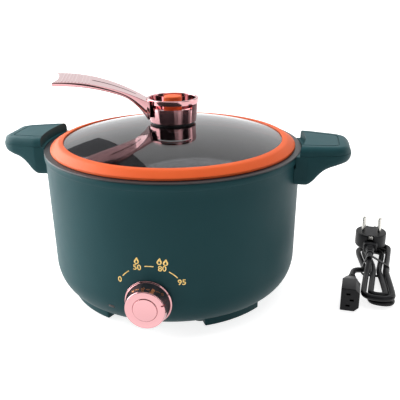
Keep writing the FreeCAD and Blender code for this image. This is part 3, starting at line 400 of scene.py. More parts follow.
def piece(name, bm, body, finish, stands=(), sharp=35.0):
    mesh = bpy.data.meshes.new(name)
    bm.to_mesh(mesh)
    bm.free()
    mesh.shade_smooth()
    mesh.set_sharp_from_angle(angle=math.radians(sharp))
    thing = bpy.data.objects.new(name, mesh)
    scene.collection.objects.link(thing)
    mesh.materials.append(finishes[finish])
    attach(thing, body)
    if stands:
        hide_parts(*stands)
    return thing


# Mains lead: a route of points as in the part's source, its half turns squared out to their corners
lead = {
    "cord": 6.5, "gap": 1.2, "centre": (242.0, 28.0), "turn": -6.5, "low": 4.55, "loops": 3,
    "waistHalf": 12.5, "topHalf": 20.5, "topShift": -3.5, "topReach": 54.0,
    "footHalf": 17.5, "footShift": 2.0, "footReach": -58.0,
    "start": (-29.5, -31.0, 13.5), "entry": (-2.0, 7.0), "exit": (-0.7, -20.0),
    "end": (-10.5, 15.0, 23.0), "length": 1.059,
}


def leadPlace():
    return shift(lead["centre"][0], lead["centre"][1], 0) @ turnAbout("Z", lead["turn"])


def halfTurn(near, far, level, out, height):
    # from one strand to the next, outwards past a level along the hank
    reach = abs(far - near) / 2
    bend = level + out * reach
    shoulder = bend - out * reach * 0.35
    return [(near, shoulder, height), ((near * 3 + far) / 4, bend, height),
            ((near + far * 3) / 4, bend, height), (far, shoulder, height)]


def leadRoute():
    step = lead["cord"] + lead["gap"]
    low = lead["low"]
    high = low + step
    loops = lead["loops"]
    x, y, z = lead["start"]
    route = [(x, y, z), (x, y + lead["cord"], z), (x + 2, y + 22, z - 2)]
    for k in range(2 * loops + 1):
        turn = k / 2
        inward = min(turn, loops - turn) * step
        middle = k == loops
        height = low if k < loops else high
        side = -1 if k % 2 == 0 else 1
        waist = side * (lead["waistHalf"] - inward)
        top = lead["topShift"] + side * (lead["topHalf"] - inward)
        foot = lead["footShift"] + side * (lead["footHalf"] - inward)
        topHeight, footHeight = (low, high) if middle else (height, height)
        waistHeight = (low + high) / 2 if middle else height
        strand = [
            (foot, lead["footReach"], footHeight),
            ((foot + waist) / 2, lead["footReach"] / 2, footHeight),
            (waist, 0, waistHeight),
            ((waist + top) / 2, lead["topReach"] / 2, topHeight),
            (top, lead["topReach"], topHeight),
        ]
        if k == 0:
            strand = [(waist + lead["entry"][0], lead["entry"][1], height), *strand[3:]]
        if k == 2 * loops:
            strand = strand[:2]
        route += strand if side < 0 else strand[::-1]
        if k == 2 * loops:
            break
        nextIn = min(turn + 0.5, loops - turn - 0.5) * step
        if side < 0:
            far = lead["topShift"] + lead["topHalf"] - nextIn
            route += halfTurn(top, far, lead["topReach"], 1, topHeight)
        else:
            far = lead["footShift"] - lead["footHalf"] + nextIn
            route += halfTurn(foot, far, lead["footReach"], -1, footHeight)
    x, y, z = lead["end"]
    route += [(waist + lead["exit"][0], lead["exit"][1], high), (x - 0.6, y - 16, z - 3)]
    route += [(x, y - lead["cord"], z), (x, y, z)]
    return [leadPlace() @ (Vector(p) * mm) for p in route]


def leadCord():
    curve = bpy.data.curves.new("leadCord", "CURVE")
    curve.dimensions = "3D"
    curve.bevel_depth = lead["cord"] / 2 * mm
    curve.bevel_resolution = 5
    curve.resolution_u = 8
    curve.use_fill_caps = True
    route = leadRoute()
    spline = curve.splines.new("NURBS")
    spline.points.add(len(route) - 1)
    for point, place in zip(spline.points, route):
        point.co = (*place, 1.0)
    spline.order_u = 3
    spline.use_endpoint_u = True
    thing = bpy.data.objects.new("leadCord", curve)
    scene.collection.objects.link(thing)
    curve.materials.append(finishes["blackRubber"])
    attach(thing, "mains_lead")
    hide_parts("lead_hank")
    return thing


cordPiece = leadCord()
print("lead laid")


# Body shell
shell = {
    "bottom": 9.0, "baseRadius": 115.6, "cornerRadius": 139.6, "cornerTop": 43.0, "topRadius": 141.8,
    "beadLow": 159.6, "beadTop": 166.6, "bulge": 1.3, "neck": 140.7, "top": 166.7,
    "wall": 2.8, "ledge": 104.6, "ledgeLow": 11.5, "ledgeHigh": 14.0, "lip": 113.2,
    "bossRadius": 23.0, "bossDepth": 22.0, "shaftHole": 5.4,
    "housing": (54, 30, 28), "housingBack": 147.2, "housingCorner": 5.0, "opening": (28, 60, 21),
    "window": (7.3, 30, 3.3), "windowTurn": -17.5, "windowHeight": 30.0,
}


def shellOutline(inset, steps=16):
    # the bottom corner as part of an ellipse
    reach = shell["cornerRadius"] - shell["baseRadius"] - inset
    rise = shell["cornerTop"] - shell["bottom"] - inset
    line = []
    for s in range(steps + 1):
        a = math.pi / 2 * s / steps
        line.append((shell["baseRadius"] + reach * math.sin(a), shell["cornerTop"] - rise * math.cos(a)))
    return line


def shellRadius(height):
    if height < shell["cornerTop"]:
        share = (shell["cornerTop"] - height) / (shell["cornerTop"] - shell["bottom"])
        flare = shell["cornerRadius"] - shell["baseRadius"]
        return shell["baseRadius"] + flare * math.sqrt(1 - min(1, share) ** 2)
    share = (height - shell["cornerTop"]) / (shell["beadLow"] - shell["cornerTop"])
    return shell["cornerRadius"] + (shell["topRadius"] - shell["cornerRadius"]) * min(1, share)


def shellSection():
    s = shell
    outside = [(s["ledge"], s["ledgeLow"]), (s["lip"], s["ledgeLow"]), (s["lip"], s["bottom"] + 0.5),
               (s["lip"] + 0.5, s["bottom"])]
    outside += shellOutline(0)
    outside += [(shellRadius(h), h) for h in (70, 100, 130, 150)]
    outside += [(s["topRadius"] - 0.3, s["beadLow"] - 1.6), (s["topRadius"], s["beadLow"] - 0.6)]
    middle = (s["beadLow"] + s["beadTop"]) / 2
    for k in range(9):
        a = math.pi * k / 8
        outside.append((s["topRadius"] + s["bulge"] * math.sin(a) ** 0.8,
                        middle - (s["beadTop"] - s["beadLow"]) / 2 * math.cos(a)))
    outside += [(s["neck"], s["beadTop"]), (s["neck"], s["top"])]
    inside = [(s["topRadius"] - s["wall"] - 1.2, s["top"]), (s["cornerRadius"] - s["wall"], s["cornerTop"])]
    inside += shellOutline(s["wall"])[-2:0:-2]
    inside += [(s["ledge"], s["ledgeHigh"])]
    return outside + inside


def bodyShell():
    s = shell
    height = s["cornerTop"]
    bm = spun(shellSection(), 192)
    place = shift(0, s["bossDepth"] - s["cornerRadius"], height) @ turnAbout("X", 90)
    boss = moved(rod(s["bossRadius"], 0, s["bossDepth"], 96), place)
    soften(boss, [e for e in boss.edges if all(v.co.y < -0.139 for v in e.verts)], 1.0)
    bm = carved(bm, boss, "UNION")
    housing = brick(s["housing"], (0, s["housingBack"] - s["housing"][1] / 2, height))
    along = [e for e in housing.edges if abs((e.verts[0].co - e.verts[1].co).y) > 0.01]
    soften(housing, along, s["housingCorner"], 6)
    soften(housing, [e for e in housing.edges if all(v.co.y > 0.147 for v in e.verts)], 0.8)
    bm = carved(bm, housing, "UNION")
    bm = carved(bm, brick(s["opening"], (0, s["housingBack"], height)))
    bm = carved(bm, moved(rod(s["shaftHole"], 0, 40), shift(0, -110, height) @ turnAbout("X", 90)))
    window = brick(s["window"], (0, -139, s["windowHeight"]), 0.4)
    bm = carved(bm, moved(window, turnAbout("Z", s["windowTurn"])))
    return piece("bodyShell", bm, "pot", "greenCoat", ["outer_shell"])


bodyShell()
print("shell made")


# Pan and its flange
pan = {
    "floor": 72.0, "inner": 118.0, "corner": 22.0, "sheet": 2.0, "bareFrom": (132.5, 164.0),
    "flange": [(130.2, 160.8, 0), (131.5, 168, 1.2), (143, 168, 0.6), (143, 166.8, 0.3), (133.5, 166.8, 0)],
}


def panCorner(grow):
    # the quarter round from the floor into the wall
    p = pan
    middle = p["inner"] + grow - p["corner"]
    high = p["floor"] - grow + p["corner"]
    turns = [math.pi / 2 * k / 10 for k in range(1, 11)]
    return [(middle + p["corner"] * math.sin(a), high - p["corner"] * math.cos(a)) for a in turns]


def panBowl():
    p = pan
    flat = p["inner"] - p["corner"]
    line = [(0, p["floor"]), (flat, p["floor"])] + panCorner(0)
    line += softLine(p["flange"], 5)
    line += reversed(panCorner(p["sheet"]))
    line += [(flat + p["sheet"], p["floor"] - p["sheet"]), (0, p["floor"] - p["sheet"])]
    thing = piece("panBowl", spun(line, 160), "pot", "panCoat", ["inner_pot"])
    thing.data.materials.append(finishes["rimMetal"])
    radius, height = p["bareFrom"]
    for face in thing.data.polygons:
        centre = face.center
        if math.hypot(centre.x, centre.y) > radius * mm and centre.z > height * mm:
            face.material_index = 1
    return thing


panBowl()
print("pan made")


# Handles: a run of cross-sections from the pot outwards, cut to fit round the shell and the rim
handle = {
    "start": 136.0, "end": 195.0, "rootHalf": 40.0, "endHalf": 31.0, "planCorner": 19.0, "waist": 150.0,
    "top": 178.2, "topFall": 1.8, "topCorner": 8.0, "underCorner": 6.0, "rounding": 6.5,
    "parting": 168.5, "seam": 0.12, "lip": 0.5, "tip": 14.0,
    "rimRoom": 147.1, "step": 168.1, "snug": 143.4, "shellRoom": 0.1,
    "panelIn": 8.5, "panelEnd": 12.5, "panelCorner": 7.0, "panelDepth": 0.8, "panelLine": 1.3,
    "under": [(136, 137.2), (149, 137.0), (152.5, 138.4), (156.5, 141.8), (161, 147.0), (166, 151.7),
              (172, 155.0), (180, 157.5), (188, 159.2), (197, 160.6)],
}


def roundOff(into, corner):
    # how far an edge falls away, past the start of its quarter round
    return 0.0 if into <= 0 else corner - math.sqrt(max(0.0, corner ** 2 - into ** 2))


def handleWidth(x, grow):
    h = handle
    end = h["end"] + grow
    corner = h["planCorner"] + grow
    share = max(0.0, (x - h["waist"]) / (h["end"] - h["waist"]))
    half = h["rootHalf"] + (h["endHalf"] - h["rootHalf"]) * share + grow
    return half - roundOff(x - (end - corner), corner)


def handleTop(x, grow):
    h = handle
    end = h["end"] + grow
    level = h["top"] - h["topFall"] * (x - h["rimRoom"]) / (h["end"] - h["rimRoom"]) + grow
    return level - roundOff(x - (end - h["topCorner"]), h["topCorner"])


def through(points, x):
    # a smooth line through points of (across, up)
    k = max(k for k, (px, _) in enumerate(points[:-1]) if px <= max(x, points[0][0]))
    (x0, z0), (x1, z1) = points[k], points[k + 1]
    before, after = points[max(0, k - 1)], points[min(len(points) - 1, k + 2)]
    slope0 = (z1 - before[1]) / (x1 - before[0]) * (x1 - x0)
    slope1 = (after[1] - z0) / (after[0] - x0) * (x1 - x0)
    rise = z1 - z0
    t = (x - x0) / (x1 - x0)
    square = 3 * rise - 2 * slope0 - slope1
    cube = slope0 + slope1 - 2 * rise
    return z0 + slope0 * t + square * t ** 2 + cube * t ** 3


def handleUnder(x, grow):
    # from the foot on the shell, a hollow sweep out to the underside of the grip
    h = handle
    end = h["end"] + grow
    return through(h["under"], x) - grow + roundOff(x - (end - h["underCorner"]), h["underCorner"])


def handleSection(x, grow, corners=7):
    # a rounded box, as points of (across, up)
    half, top, under = handleWidth(x, grow), handleTop(x, grow), handleUnder(x, grow)
    radius = min(handle["rounding"], (top - under) / 2.2, half / 2.2)
    right, high, low = half - radius, top - radius, under + radius
    line = []
    for cx, cz, start in ((right, high, 0), (-right, high, 90), (-right, low, 180), (right, low, 270)):
        for k in range(corners + 1):
            a = math.radians(start + 90 * k / corners)
            line.append((cx + radius * math.cos(a), cz + radius * math.sin(a)))
    return line


def handleForm(grow):
    h = handle
    end = h["end"] + grow
    tip = h["tip"]
    spots = [h["start"] + (end - tip - h["start"]) * k / 26 for k in range(27)]
    spots += [end - tip + tip * math.sin(math.pi / 2 * k / 12) for k in range(1, 13)]
    bm = bmesh.new()
    rings = []
    for x in spots:
        verts = [bm.verts.new((x * mm, y * mm, z * mm)) for y, z in handleSection(x, grow)]
        rings.append([bm.edges.new(pair) for pair in zip(verts, verts[1:] + verts[:1])])
    for near, far in zip(rings, rings[1:]):
        bmesh.ops.bridge_loops(bm, edges=near + far)
    bmesh.ops.holes_fill(bm, edges=[e for e in bm.edges if len(e.link_faces) == 1], sides=0)
    bmesh.ops.recalc_face_normals(bm, faces=bm.faces)
    return bm


def handleRoom():
    # what a handle fits round: the shell with its bead, and the room round the rim
    h = handle
    room = h["shellRoom"]
    line = [(0, 100), (shellRadius(100) + room, 100), (shellRadius(155) + room, 155.3), (h["snug"], 155.5),
            (h["snug"], h["step"]), (h["rimRoom"], h["step"] + 0.1), (h["rimRoom"], 200), (0, 200)]
    return spun(line, 192)


def handlePanel(inset, fall):
    # the panel on top, narrower towards the tip
    h = handle
    half = h["endHalf"] - h["panelIn"] - inset
    end = h["end"] - h["panelEnd"] - inset
    corner = h["panelCorner"] - inset
    line = softLine([(130, -half - 8, 0), (152, -half - 6, 0), (end, -half, corner), (end, half, corner),
                     (152, half + 6, 0), (130, half + 8, 0)])
    bm = prism(line, 160, 200)
    for v in bm.verts:
        if v.co.z < 0.17:
            v.co.z = (handleTop(min(v.co.x / mm, 185), 0) - fall) * mm
    return bm


def halved(bm, height, keepAbove):
    geom = bm.verts[:] + bm.edges[:] + bm.faces[:]
    cut = bmesh.ops.bisect_plane(bm, geom=geom, plane_co=(0, 0, height * mm), plane_no=(0, 0, 1),
                                 clear_inner=keepAbove, clear_outer=not keepAbove, dist=1e-7)
    rim = [g for g in cut["geom_cut"] if isinstance(g, bmesh.types.BMEdge)]
    bmesh.ops.holes_fill(bm, edges=rim, sides=0)
    bmesh.ops.recalc_face_normals(bm, faces=bm.faces)
    return bm


def atHeight(edge, height):
    return all(abs(v.co.z - height * mm) < 1e-5 for v in edge.verts)


def handlePieces():
    h = handle
    seam = h["parting"] - h["seam"]
    for side, turn in (("right", 0), ("left", 180)):
        cap = carved(halved(handleForm(0), h["parting"], True), handleRoom())
        groove = carved(handlePanel(0, h["panelDepth"]), handlePanel(h["panelLine"], 5))
        cap = carved(cap, groove)
        base = carved(halved(handleForm(h["lip"]), seam, False), handleRoom())
        rims = [e for e in base.edges if atHeight(e, seam) and all(v.co.x > 0.150 for v in e.verts)
                and len(e.link_faces) == 2 and e.calc_face_angle(0) > 0.8]
        soften(base, rims, 0.4, 2)
        spin = turnAbout("Z", turn)
        piece(side + "HandleCap", moved(cap, spin), "pot", "greenCoat",
              [side + "_handle_top"])
        piece(side + "HandleBase", moved(base, spin), "pot", "greenCoat",
              [side + "_handle_base"])


handlePieces()
print("handles made")


# Lid: glass dome, silicone rim
lid = {
    "sphere": 440.0, "apex": 192.5, "sheet": 4.0, "edge": 128.0, "hole": 6.0,
    "ringInner": 121.6, "ringOuter": 136.2, "ringLow": 168.35, "skirtDrop": 9.0,
}


def glassHeight(radius, depth=0.0):
    ball = lid["sphere"] - depth
    return lid["apex"] - lid["sphere"] + math.sqrt(ball ** 2 - radius ** 2)


def lidGlass():
    edge, hole, sheet = lid["edge"], lid["hole"], lid["sheet"]
    spots = [hole + (edge - 0.8 - hole) * k / 30 for k in range(31)]
    line = [(r, glassHeight(r)) for r in spots]
    line += [(edge, glassHeight(edge) - sheet * 0.3), (edge, glassHeight(edge) - sheet * 0.7)]
    line += [(r, glassHeight(r, sheet)) for r in reversed(spots)]
    return piece("lidGlass", spun(line, 192), "lid", "smokedGlass", ["lid_glass"])


def lidRing():
    inner, outer, floor = lid["ringInner"], lid["ringOuter"], lid["ringLow"]
    edge, sheet = lid["edge"], lid["sheet"]
    line = softLine([
        (inner, glassHeight(inner) + 0.05, 0),
        (inner + 0.3, glassHeight(inner) + 1.3, 0.5),
        (edge - 0.4, glassHeight(edge - 0.4) + 2.3, 9),
        (outer - 2.2, 171.9, 3.5),
        (outer - 0.2, 170.6, 1.2),
        (outer, floor, 0.4),
        (130.7, floor, 0),
        (129.1, floor - lid["skirtDrop"], 0.6),
        (127.1, floor - lid["skirtDrop"], 0.6),
        (127.7, floor - 1.5, 1.5),
        (inner + 1.5, glassHeight(inner + 1.5, sheet) - 2.2, 1.0),
        # the groove that takes the glass
        (inner, glassHeight(inner, sheet) - 0.1, 0),
        (edge - 0.1, glassHeight(edge - 0.1, sheet) - 0.1, 0),
        (edge + 0.2, glassHeight(edge) - 2, 0),
        (edge - 0.1, glassHeight(edge - 0.1) + 0.05, 0),
    ], 5)
    return piece("lidRing", spun(line, 192), "lid", "orangeSilicone", ["lid_ring"], 50)


lidGlass()
lidRing()
print("lid made")


# Knob: a cup with a steam slot, and the rest arm that grows from its wall
knob = {
    "low": 193.8, "top": 220.1, "lowRadius": 26.0, "topRadius": 28.4,
    "wall": 3.0, "floor": 3.2, "bore": 6.0,
    "slotLow": 210.5, "slotHigh": 214.9, "slotAngle": 98.0, "slotTurn": 281.6,
    "armTurn": 196.5, "armReach": 125.0, "armTop": 218.6, "armTip": 244.8, "armRise": 2.1,
    "rootHalf": 15.5, "midHalf": 27.0, "tipHalf": 34.0, "sheet": 4.4, "hollow": 4.0,
    "gussetShare": 0.3, "gussetDepth": 14.5, "gripFrom": 84.0, "ribFrom": 86.5, "ribTo": 119.5,
    "ribPitch": 3.4, "ribHeight": 0.55,
    "cut": [(39.5, -1.5, 1.4), (84, -1.8, 0.4), (86.6, -1.2, 1.2), (86.6, 1.2, 1.2), (84, 1.8, 0.4),
            (39.5, 1.5, 1.4)],
}
valve = {"bore": 4.7, "radius": 10.0, "low": 199.3, "roof": 216.6, "top": 221.5}


def cupForm():
    k = knob
    low, top = k["low"], k["top"]
    line = softLine([
        (k["bore"], low, 0),
        (k["lowRadius"] - 0.1, low, 1.0),
        (k["topRadius"] - 0.5, top - 6.5, 0),
        (k["topRadius"], top - 5.7, 0.8),
        (k["topRadius"] + 0.2, top, 0.9),
        (k["topRadius"] - k["wall"] + 0.2, top, 0.8),
        (k["lowRadius"] - k["wall"] + 0.3, low + k["floor"], 2.0),
        (k["bore"], low + k["floor"], 0),
    ], 6)
    return spun(line, 128)


def slotCutter():
    # a fan shape that passes right through the cup's wall
    k = knob
    half = k["slotAngle"] / 2
    inner = [(20.5, half), (20.5, 0), (20.5, -half)]
    outer = [(36, 2 * half * s / 12 - half) for s in range(13)]
    line = [(r * math.cos(math.radians(a)), r * math.sin(math.radians(a))) for r, a in inner + outer]
    return moved(prism(line, k["slotLow"], k["slotHigh"]), turnAbout("Z", k["slotTurn"]))


def armShare(x):
    # 0 at the cup, 1 at the tip
    return max(0.0, (x - knob["topRadius"]) / (knob["armReach"] - knob["topRadius"]))


def armTopAt(share):
    return knob["armTop"] + (knob["armTip"] - knob["armTop"]) * (1 - (1 - share) ** knob["armRise"])


def armUnderAt(share):
    # deep where it leaves the cup, thin from a third of the way out
    k = knob
    gusset = max(0.0, 1 - share / k["gussetShare"])
    return armTopAt(share) - k["sheet"] * (1.12 - 0.2 * share) - k["gussetDepth"] * gusset ** 2.2


def armHalfAt(share):
    # a parabola through the half widths at the root, the middle and the tip
    k = knob
    slope = 4 * (k["midHalf"] - k["rootHalf"]) - (k["tipHalf"] - k["rootHalf"])
    bend = 2 * (k["tipHalf"] + k["rootHalf"]) - 4 * k["midHalf"]
    return k["rootHalf"] + slope * share + bend * share ** 2


def armForm():
    k = knob
    start = k["topRadius"] - 2.4
    bm = bmesh.new()
    bmesh.ops.create_grid(bm, x_segments=130, y_segments=40, size=0.5)
    for v in bm.verts:
        # two fifths of the rows before the grip, the rest over it
        index = v.co.x + 0.5
        x = start + (k["gripFrom"] - start) * index / 0.4
        if index >= 0.4:
            x = k["gripFrom"] + (k["armReach"] - k["gripFrom"]) * (index - 0.4) / 0.6
        share = armShare(x)
        half = armHalfAt(share)
        t = v.co.y * 2
        x -= k["hollow"] * (1 - t * t) * max(0.0, share - 0.8) / 0.2
        z = armTopAt(share)
        if k["ribFrom"] < x < k["ribTo"] - 3 * (1 - t * t):
            fade = max(0.0, min(1.0, (half - 3.2 - abs(half * t)) / 1.2))
            wave = math.sin((x - k["ribFrom"]) / k["ribPitch"] * 2 * math.pi - math.pi / 2)
            z += k["ribHeight"] * fade * max(0.0, wave) ** 0.7
        v.co = (x * mm, half * t * mm, z * mm)
    grown = bmesh.ops.extrude_face_region(bm, geom=bm.faces[:])
    for v in [g for g in grown["geom"] if isinstance(g, bmesh.types.BMVert)]:
        share = armShare(v.co.x / mm)
        v.co.z = armUnderAt(share) * mm
        v.co.y *= 1 - 0.03 * share
    bmesh.ops.recalc_face_normals(bm, faces=bm.faces)
    rims = [e for e in bm.edges if len(e.link_faces) == 2 and e.calc_face_angle(0) > 0.9]
    soften(bm, rims, 0.9, 3)
    bm = carved(bm, prism(softLine(k["cut"]), 205, 260))
    return moved(bm, turnAbout("Z", k["armTurn"]))


def lidKnob():
    arm = carved(armForm(), rod(knob["topRadius"] - knob["wall"], 190, 260, 128))
    bm = carved(cupForm(), arm, "UNION")
    bm = carved(bm, slotCutter())
    return piece("lidKnob", bm, "lid", "roseMetal", ["lid_knob"], 32)


def steamCap():
    c = valve
    line = softLine([(c["bore"], c["low"], 0), (c["radius"], c["low"], 0.4), (c["radius"], c["top"], 1.6),
                     (0, c["top"], 0), (0, c["roof"], 0), (c["bore"], c["roof"], 0)], 6)
    bm = spun(line, 64)
    for k in range(4):
        notch = brick((12, 3, 3), (c["radius"], 0, c["low"] + 0.5), 0.3)
        bm = carved(bm, moved(notch, turnAbout("Z", 45 + 90 * k)))
    return piece("steamCap", bm, "steam_valve", "orangeSilicone", ["steam_cap"])


lidKnob()
steamCap()
print("knob made")


# Temperature dial
dial = {
    "back": -140.2, "height": 43.0, "depth": 17.0, "skirt": 24.0, "face": 19.7, "disc": 12.2,
    "bore": 3.0, "hub": 6.0, "pointer": 70.0,
}


def dialPlace():
    return shift(0, dial["back"], dial["height"]) @ turnAbout("X", 90)


def dialKnob():
    d = dial
    depth = d["depth"]
    line = softLine([
        (d["bore"], 0, 0), (d["hub"], 0, 0), (d["hub"], 9.5, 0), (18.8, 9.5, 1.0), (d["skirt"] - 1.2, 0, 0),
        (d["skirt"], 0, 0.3), (d["skirt"], 1.7, 0.5), (d["skirt"] - 1.2, 2.3, 0.4),
        (d["face"] + 0.3, depth - 0.1, 1.1), (d["face"] - 3.4, depth - 0.9, 6),
        (d["disc"] + 0.4, depth - 1.15, 0.3), (d["disc"] + 0.1, depth - 1.6, 0.2),
        (d["bore"], depth - 1.6, 0),
    ], 6)
    bm = spun(line, 128)
    notch = brick((6, 1.5, 5), (d["face"] + 0.6, 0, depth - 1.8), 0.3)
    bm = carved(bm, moved(notch, turnAbout("Z", 90 - d["pointer"])))
    return piece("dialKnob", moved(bm, dialPlace()), "dial", "roseMetal", ["dial_knob"], 32)


def dialDisc():
    edge, depth = dial["disc"] - 0.1, dial["depth"]
    line = softLine([(0, depth - 1.5, 0), (edge, depth - 1.5, 0), (edge, depth - 0.35, 0.35),
                     (0, depth - 0.2, 0)], 4)
    bm = moved(spun(line, 96), dialPlace())
    return piece("dialDisc", bm, "dial", "roseMetal", ["dial_disc"], 40)


dialKnob()
dialDisc()
print("dial made")


# Printed scale round the dial, laid on the shell
scale = {
    "across": 37.3, "rise": 39.6, "shift": 2.3, "size": 8.4, "proud": 0.06, "dashWidth": 0.9,
    "flameSize": 6.4, "flameRise": 6.5, "flamePitch": 6.0,
    "marks": [(-57.0, "0", 0), (-19.5, "50", 1), (19.5, "80", 2), (56.0, "95", 0)],
    "dashes": [(-48.5, -34.5), (-7.5, 6.5), (30.5, 46.5)],
}


def onShell(x, z, proud):
    radius = shellRadius(z) + proud
    return Vector((x, -math.sqrt(radius ** 2 - x ** 2), z)) * mm


def wrapped(bm):
    # a flat pattern of (across, up) laid on the shell, fine enough to follow its curve
    for _ in range(2):
        bmesh.ops.subdivide_edges(bm, edges=[e for e in bm.edges if e.calc_length() > 1.6 * mm], cuts=1)
    bmesh.ops.triangulate(bm, faces=bm.faces)
    for v in bm.verts:
        v.co = onShell(v.co.x / mm, v.co.y / mm, scale["proud"])
    bmesh.ops.recalc_face_normals(bm, faces=bm.faces)
    return bm


def numeral(text, size):
    words = bpy.data.curves.new("numeral", "FONT")
    words.body = text
    words.size = size * mm
    words.align_x = "CENTER"
    words.align_y = "CENTER"
    words.resolution_u = 4
    words.offset = 0.12 * mm
    thing = bpy.data.objects.new("numeral", words)
    scene.collection.objects.link(thing)
    graph = bpy.context.evaluated_depsgraph_get()
    bm = bmesh.new()
    bm.from_mesh(thing.evaluated_get(graph).to_mesh())
    bpy.data.objects.remove(thing)
    bmesh.ops.remove_doubles(bm, verts=bm.verts, dist=1e-6)
    return bm


def flat(line):
    bm = bmesh.new()
    bm.faces.new([bm.verts.new((x * mm, y * mm, 0)) for x, y in line])
    return bm


def flame(x, y, size):
    # a teardrop drawn to a tip, with an open heart
    bm = bmesh.new()
    loops = []
    for grow, rise in ((1.0, 0.0), (0.46, -0.06)):
        line = []
        for k in range(24):
            a = 2 * math.pi * k / 24
            tip = max(0.0, math.cos(a)) ** 3
            line.append((x + 0.4 * size * grow * math.sin(a) * (1 - 0.55 * tip) + 0.1 * size * tip * grow,
                         y + size * (rise + grow * (0.42 * math.cos(a) + 0.3 * tip))))
        verts = [bm.verts.new((p[0] * mm, p[1] * mm, 0)) for p in line]
        loops += [bm.edges.new(pair) for pair in zip(verts, verts[1:] + verts[:1])]
    bmesh.ops.bridge_loops(bm, edges=loops)
    return bm


def onArc(angle, grow=0.0):
    # a place on the scale's oval, at an angle from straight up
    a = math.radians(angle)
    return (scale["shift"] + (scale["across"] + grow) * math.sin(a),
            dial["height"] + (scale["rise"] + grow) * math.cos(a))


def printedScale():
    s = scale
    bm = bmesh.new()
    for angle, text, flames in s["marks"]:
        a = math.radians(angle)
        x, y = onArc(angle)
        merged(bm, moved(numeral(text, s["size"]), shift(x, y, 0)))
        for k in range(flames):
            across = (k - (flames - 1) / 2) * s["flamePitch"]
            fall = across * math.tan(a) / 2
            merged(bm, flame(x + across + math.sin(a), y + s["flameRise"] - fall, s["flameSize"]))
    for start, end in s["dashes"]:
        angles = [start + (end - start) * k / 8 for k in range(9)]
        line = [onArc(angle, s["dashWidth"] / 2) for angle in angles]
        line += [onArc(angle, -s["dashWidth"] / 2) for angle in reversed(angles)]
        merged(bm, flat(line))
    return piece("printedScale", wrapped(bm), "pot", "printGold")


printedScale()
print("scale printed")


# Pilot lamp window and feet
def lampWindow():
    height = shell["windowHeight"]
    bm = brick((7.0, 4.5, 3.0), (0, 2.1 - shellRadius(height), height), 0.5)
    moved(bm, turnAbout("Z", shell["windowTurn"]))
    return piece("lampWindow", bm, "pot", "lampRed", ["indicator_lens"])


feet = {
    "inner": 108.0, "outer": 123.0, "low": 1.8, "high": 10.2, "span": 33.0, "rounding": 1.6,
    "spots": (-131.5, -48.5, 48.5, 131.5),
}


def footFlares():
    # the outer edge of each arc foot, reaching out under the shell's bottom corner
    bm = bmesh.new()
    half = feet["span"] / 2
    for spot in feet["spots"]:
        line = []
        for radius, sign in ((feet["outer"], 1), (feet["inner"], -1)):
            for k in range(15):
                a = math.radians(spot + sign * (-half + feet["span"] * k / 14))
                line.append((radius * math.cos(a), radius * math.sin(a)))
        foot = prism(line, feet["low"], feet["high"])
        rims = [e for e in foot.edges
                if e.calc_face_angle(0) > 0.9 and min(v.co.z for v in e.verts) < 0.009]
        soften(foot, rims, feet["rounding"], 4)
        merged(bm, foot)
    return piece("footFlares", bm, "pot", "greenCoat")


lampWindow()
footFlares()
print("small parts made")


# The lead's own pieces: connector, plug and pins
connector = {
    "size": (20.0, 26.0, 27.0), "chamfer": 5.0, "place": (-29.5, -88.0), "shoulder": (25.5, 42.0),
    "taper": (0.62, 0.6), "relief": (15.5, 6.2, 4.2), "slot": (4.4, 34, 2.4),
    "slots": [(-2, 6.5), (2, 13.5), (-2, 20.5)],
}
plug = {
    "low": 16.0, "radius": 19.0, "height": 20.0, "place": (-10.5, 58.0),
    "neck": (17, 18, 13), "neckUp": 7.0,
    "relief": (24.0, 5.9, 4.2), "groove": (7, 5, 22), "pinRadius": 2.4, "pinHalf": 9.5, "pinTop": 39.0,
    "earth": (5, 1.2, 13),
}


def reliefForm(length, thick, thin):
    # a strain relief of five rings, as a run of steps down a cone
    line = [(0, 0), (thick, 0)]
    for k in range(5):
        z = length * (0.1 + 0.17 * k)
        r = thick + (thin - thick) * z / length
        line += [(r, z), (r - 1.1, z + 0.3), (r - 1.1, z + length * 0.07), (r, z + length * 0.07 + 0.3)]
    line += [(thin, length - 0.4), (thin - 0.4, length), (0, length)]
    return spun(line, 40)


def connectorOutline(inset=0.0):
    # the connector's end, two of its corners cut off
    half, high, cut = connector["size"][0] / 2, connector["size"][2], connector["chamfer"]
    side, top, fall = half - inset, high - inset, inset / 2
    return softLine([(-side, inset, 1.2), (cut - fall, inset, 1.5), (side, cut + fall, 1.5),
                     (side, high - cut - fall, 1.5), (cut - fall, top, 1.5), (-side, top, 1.2)])


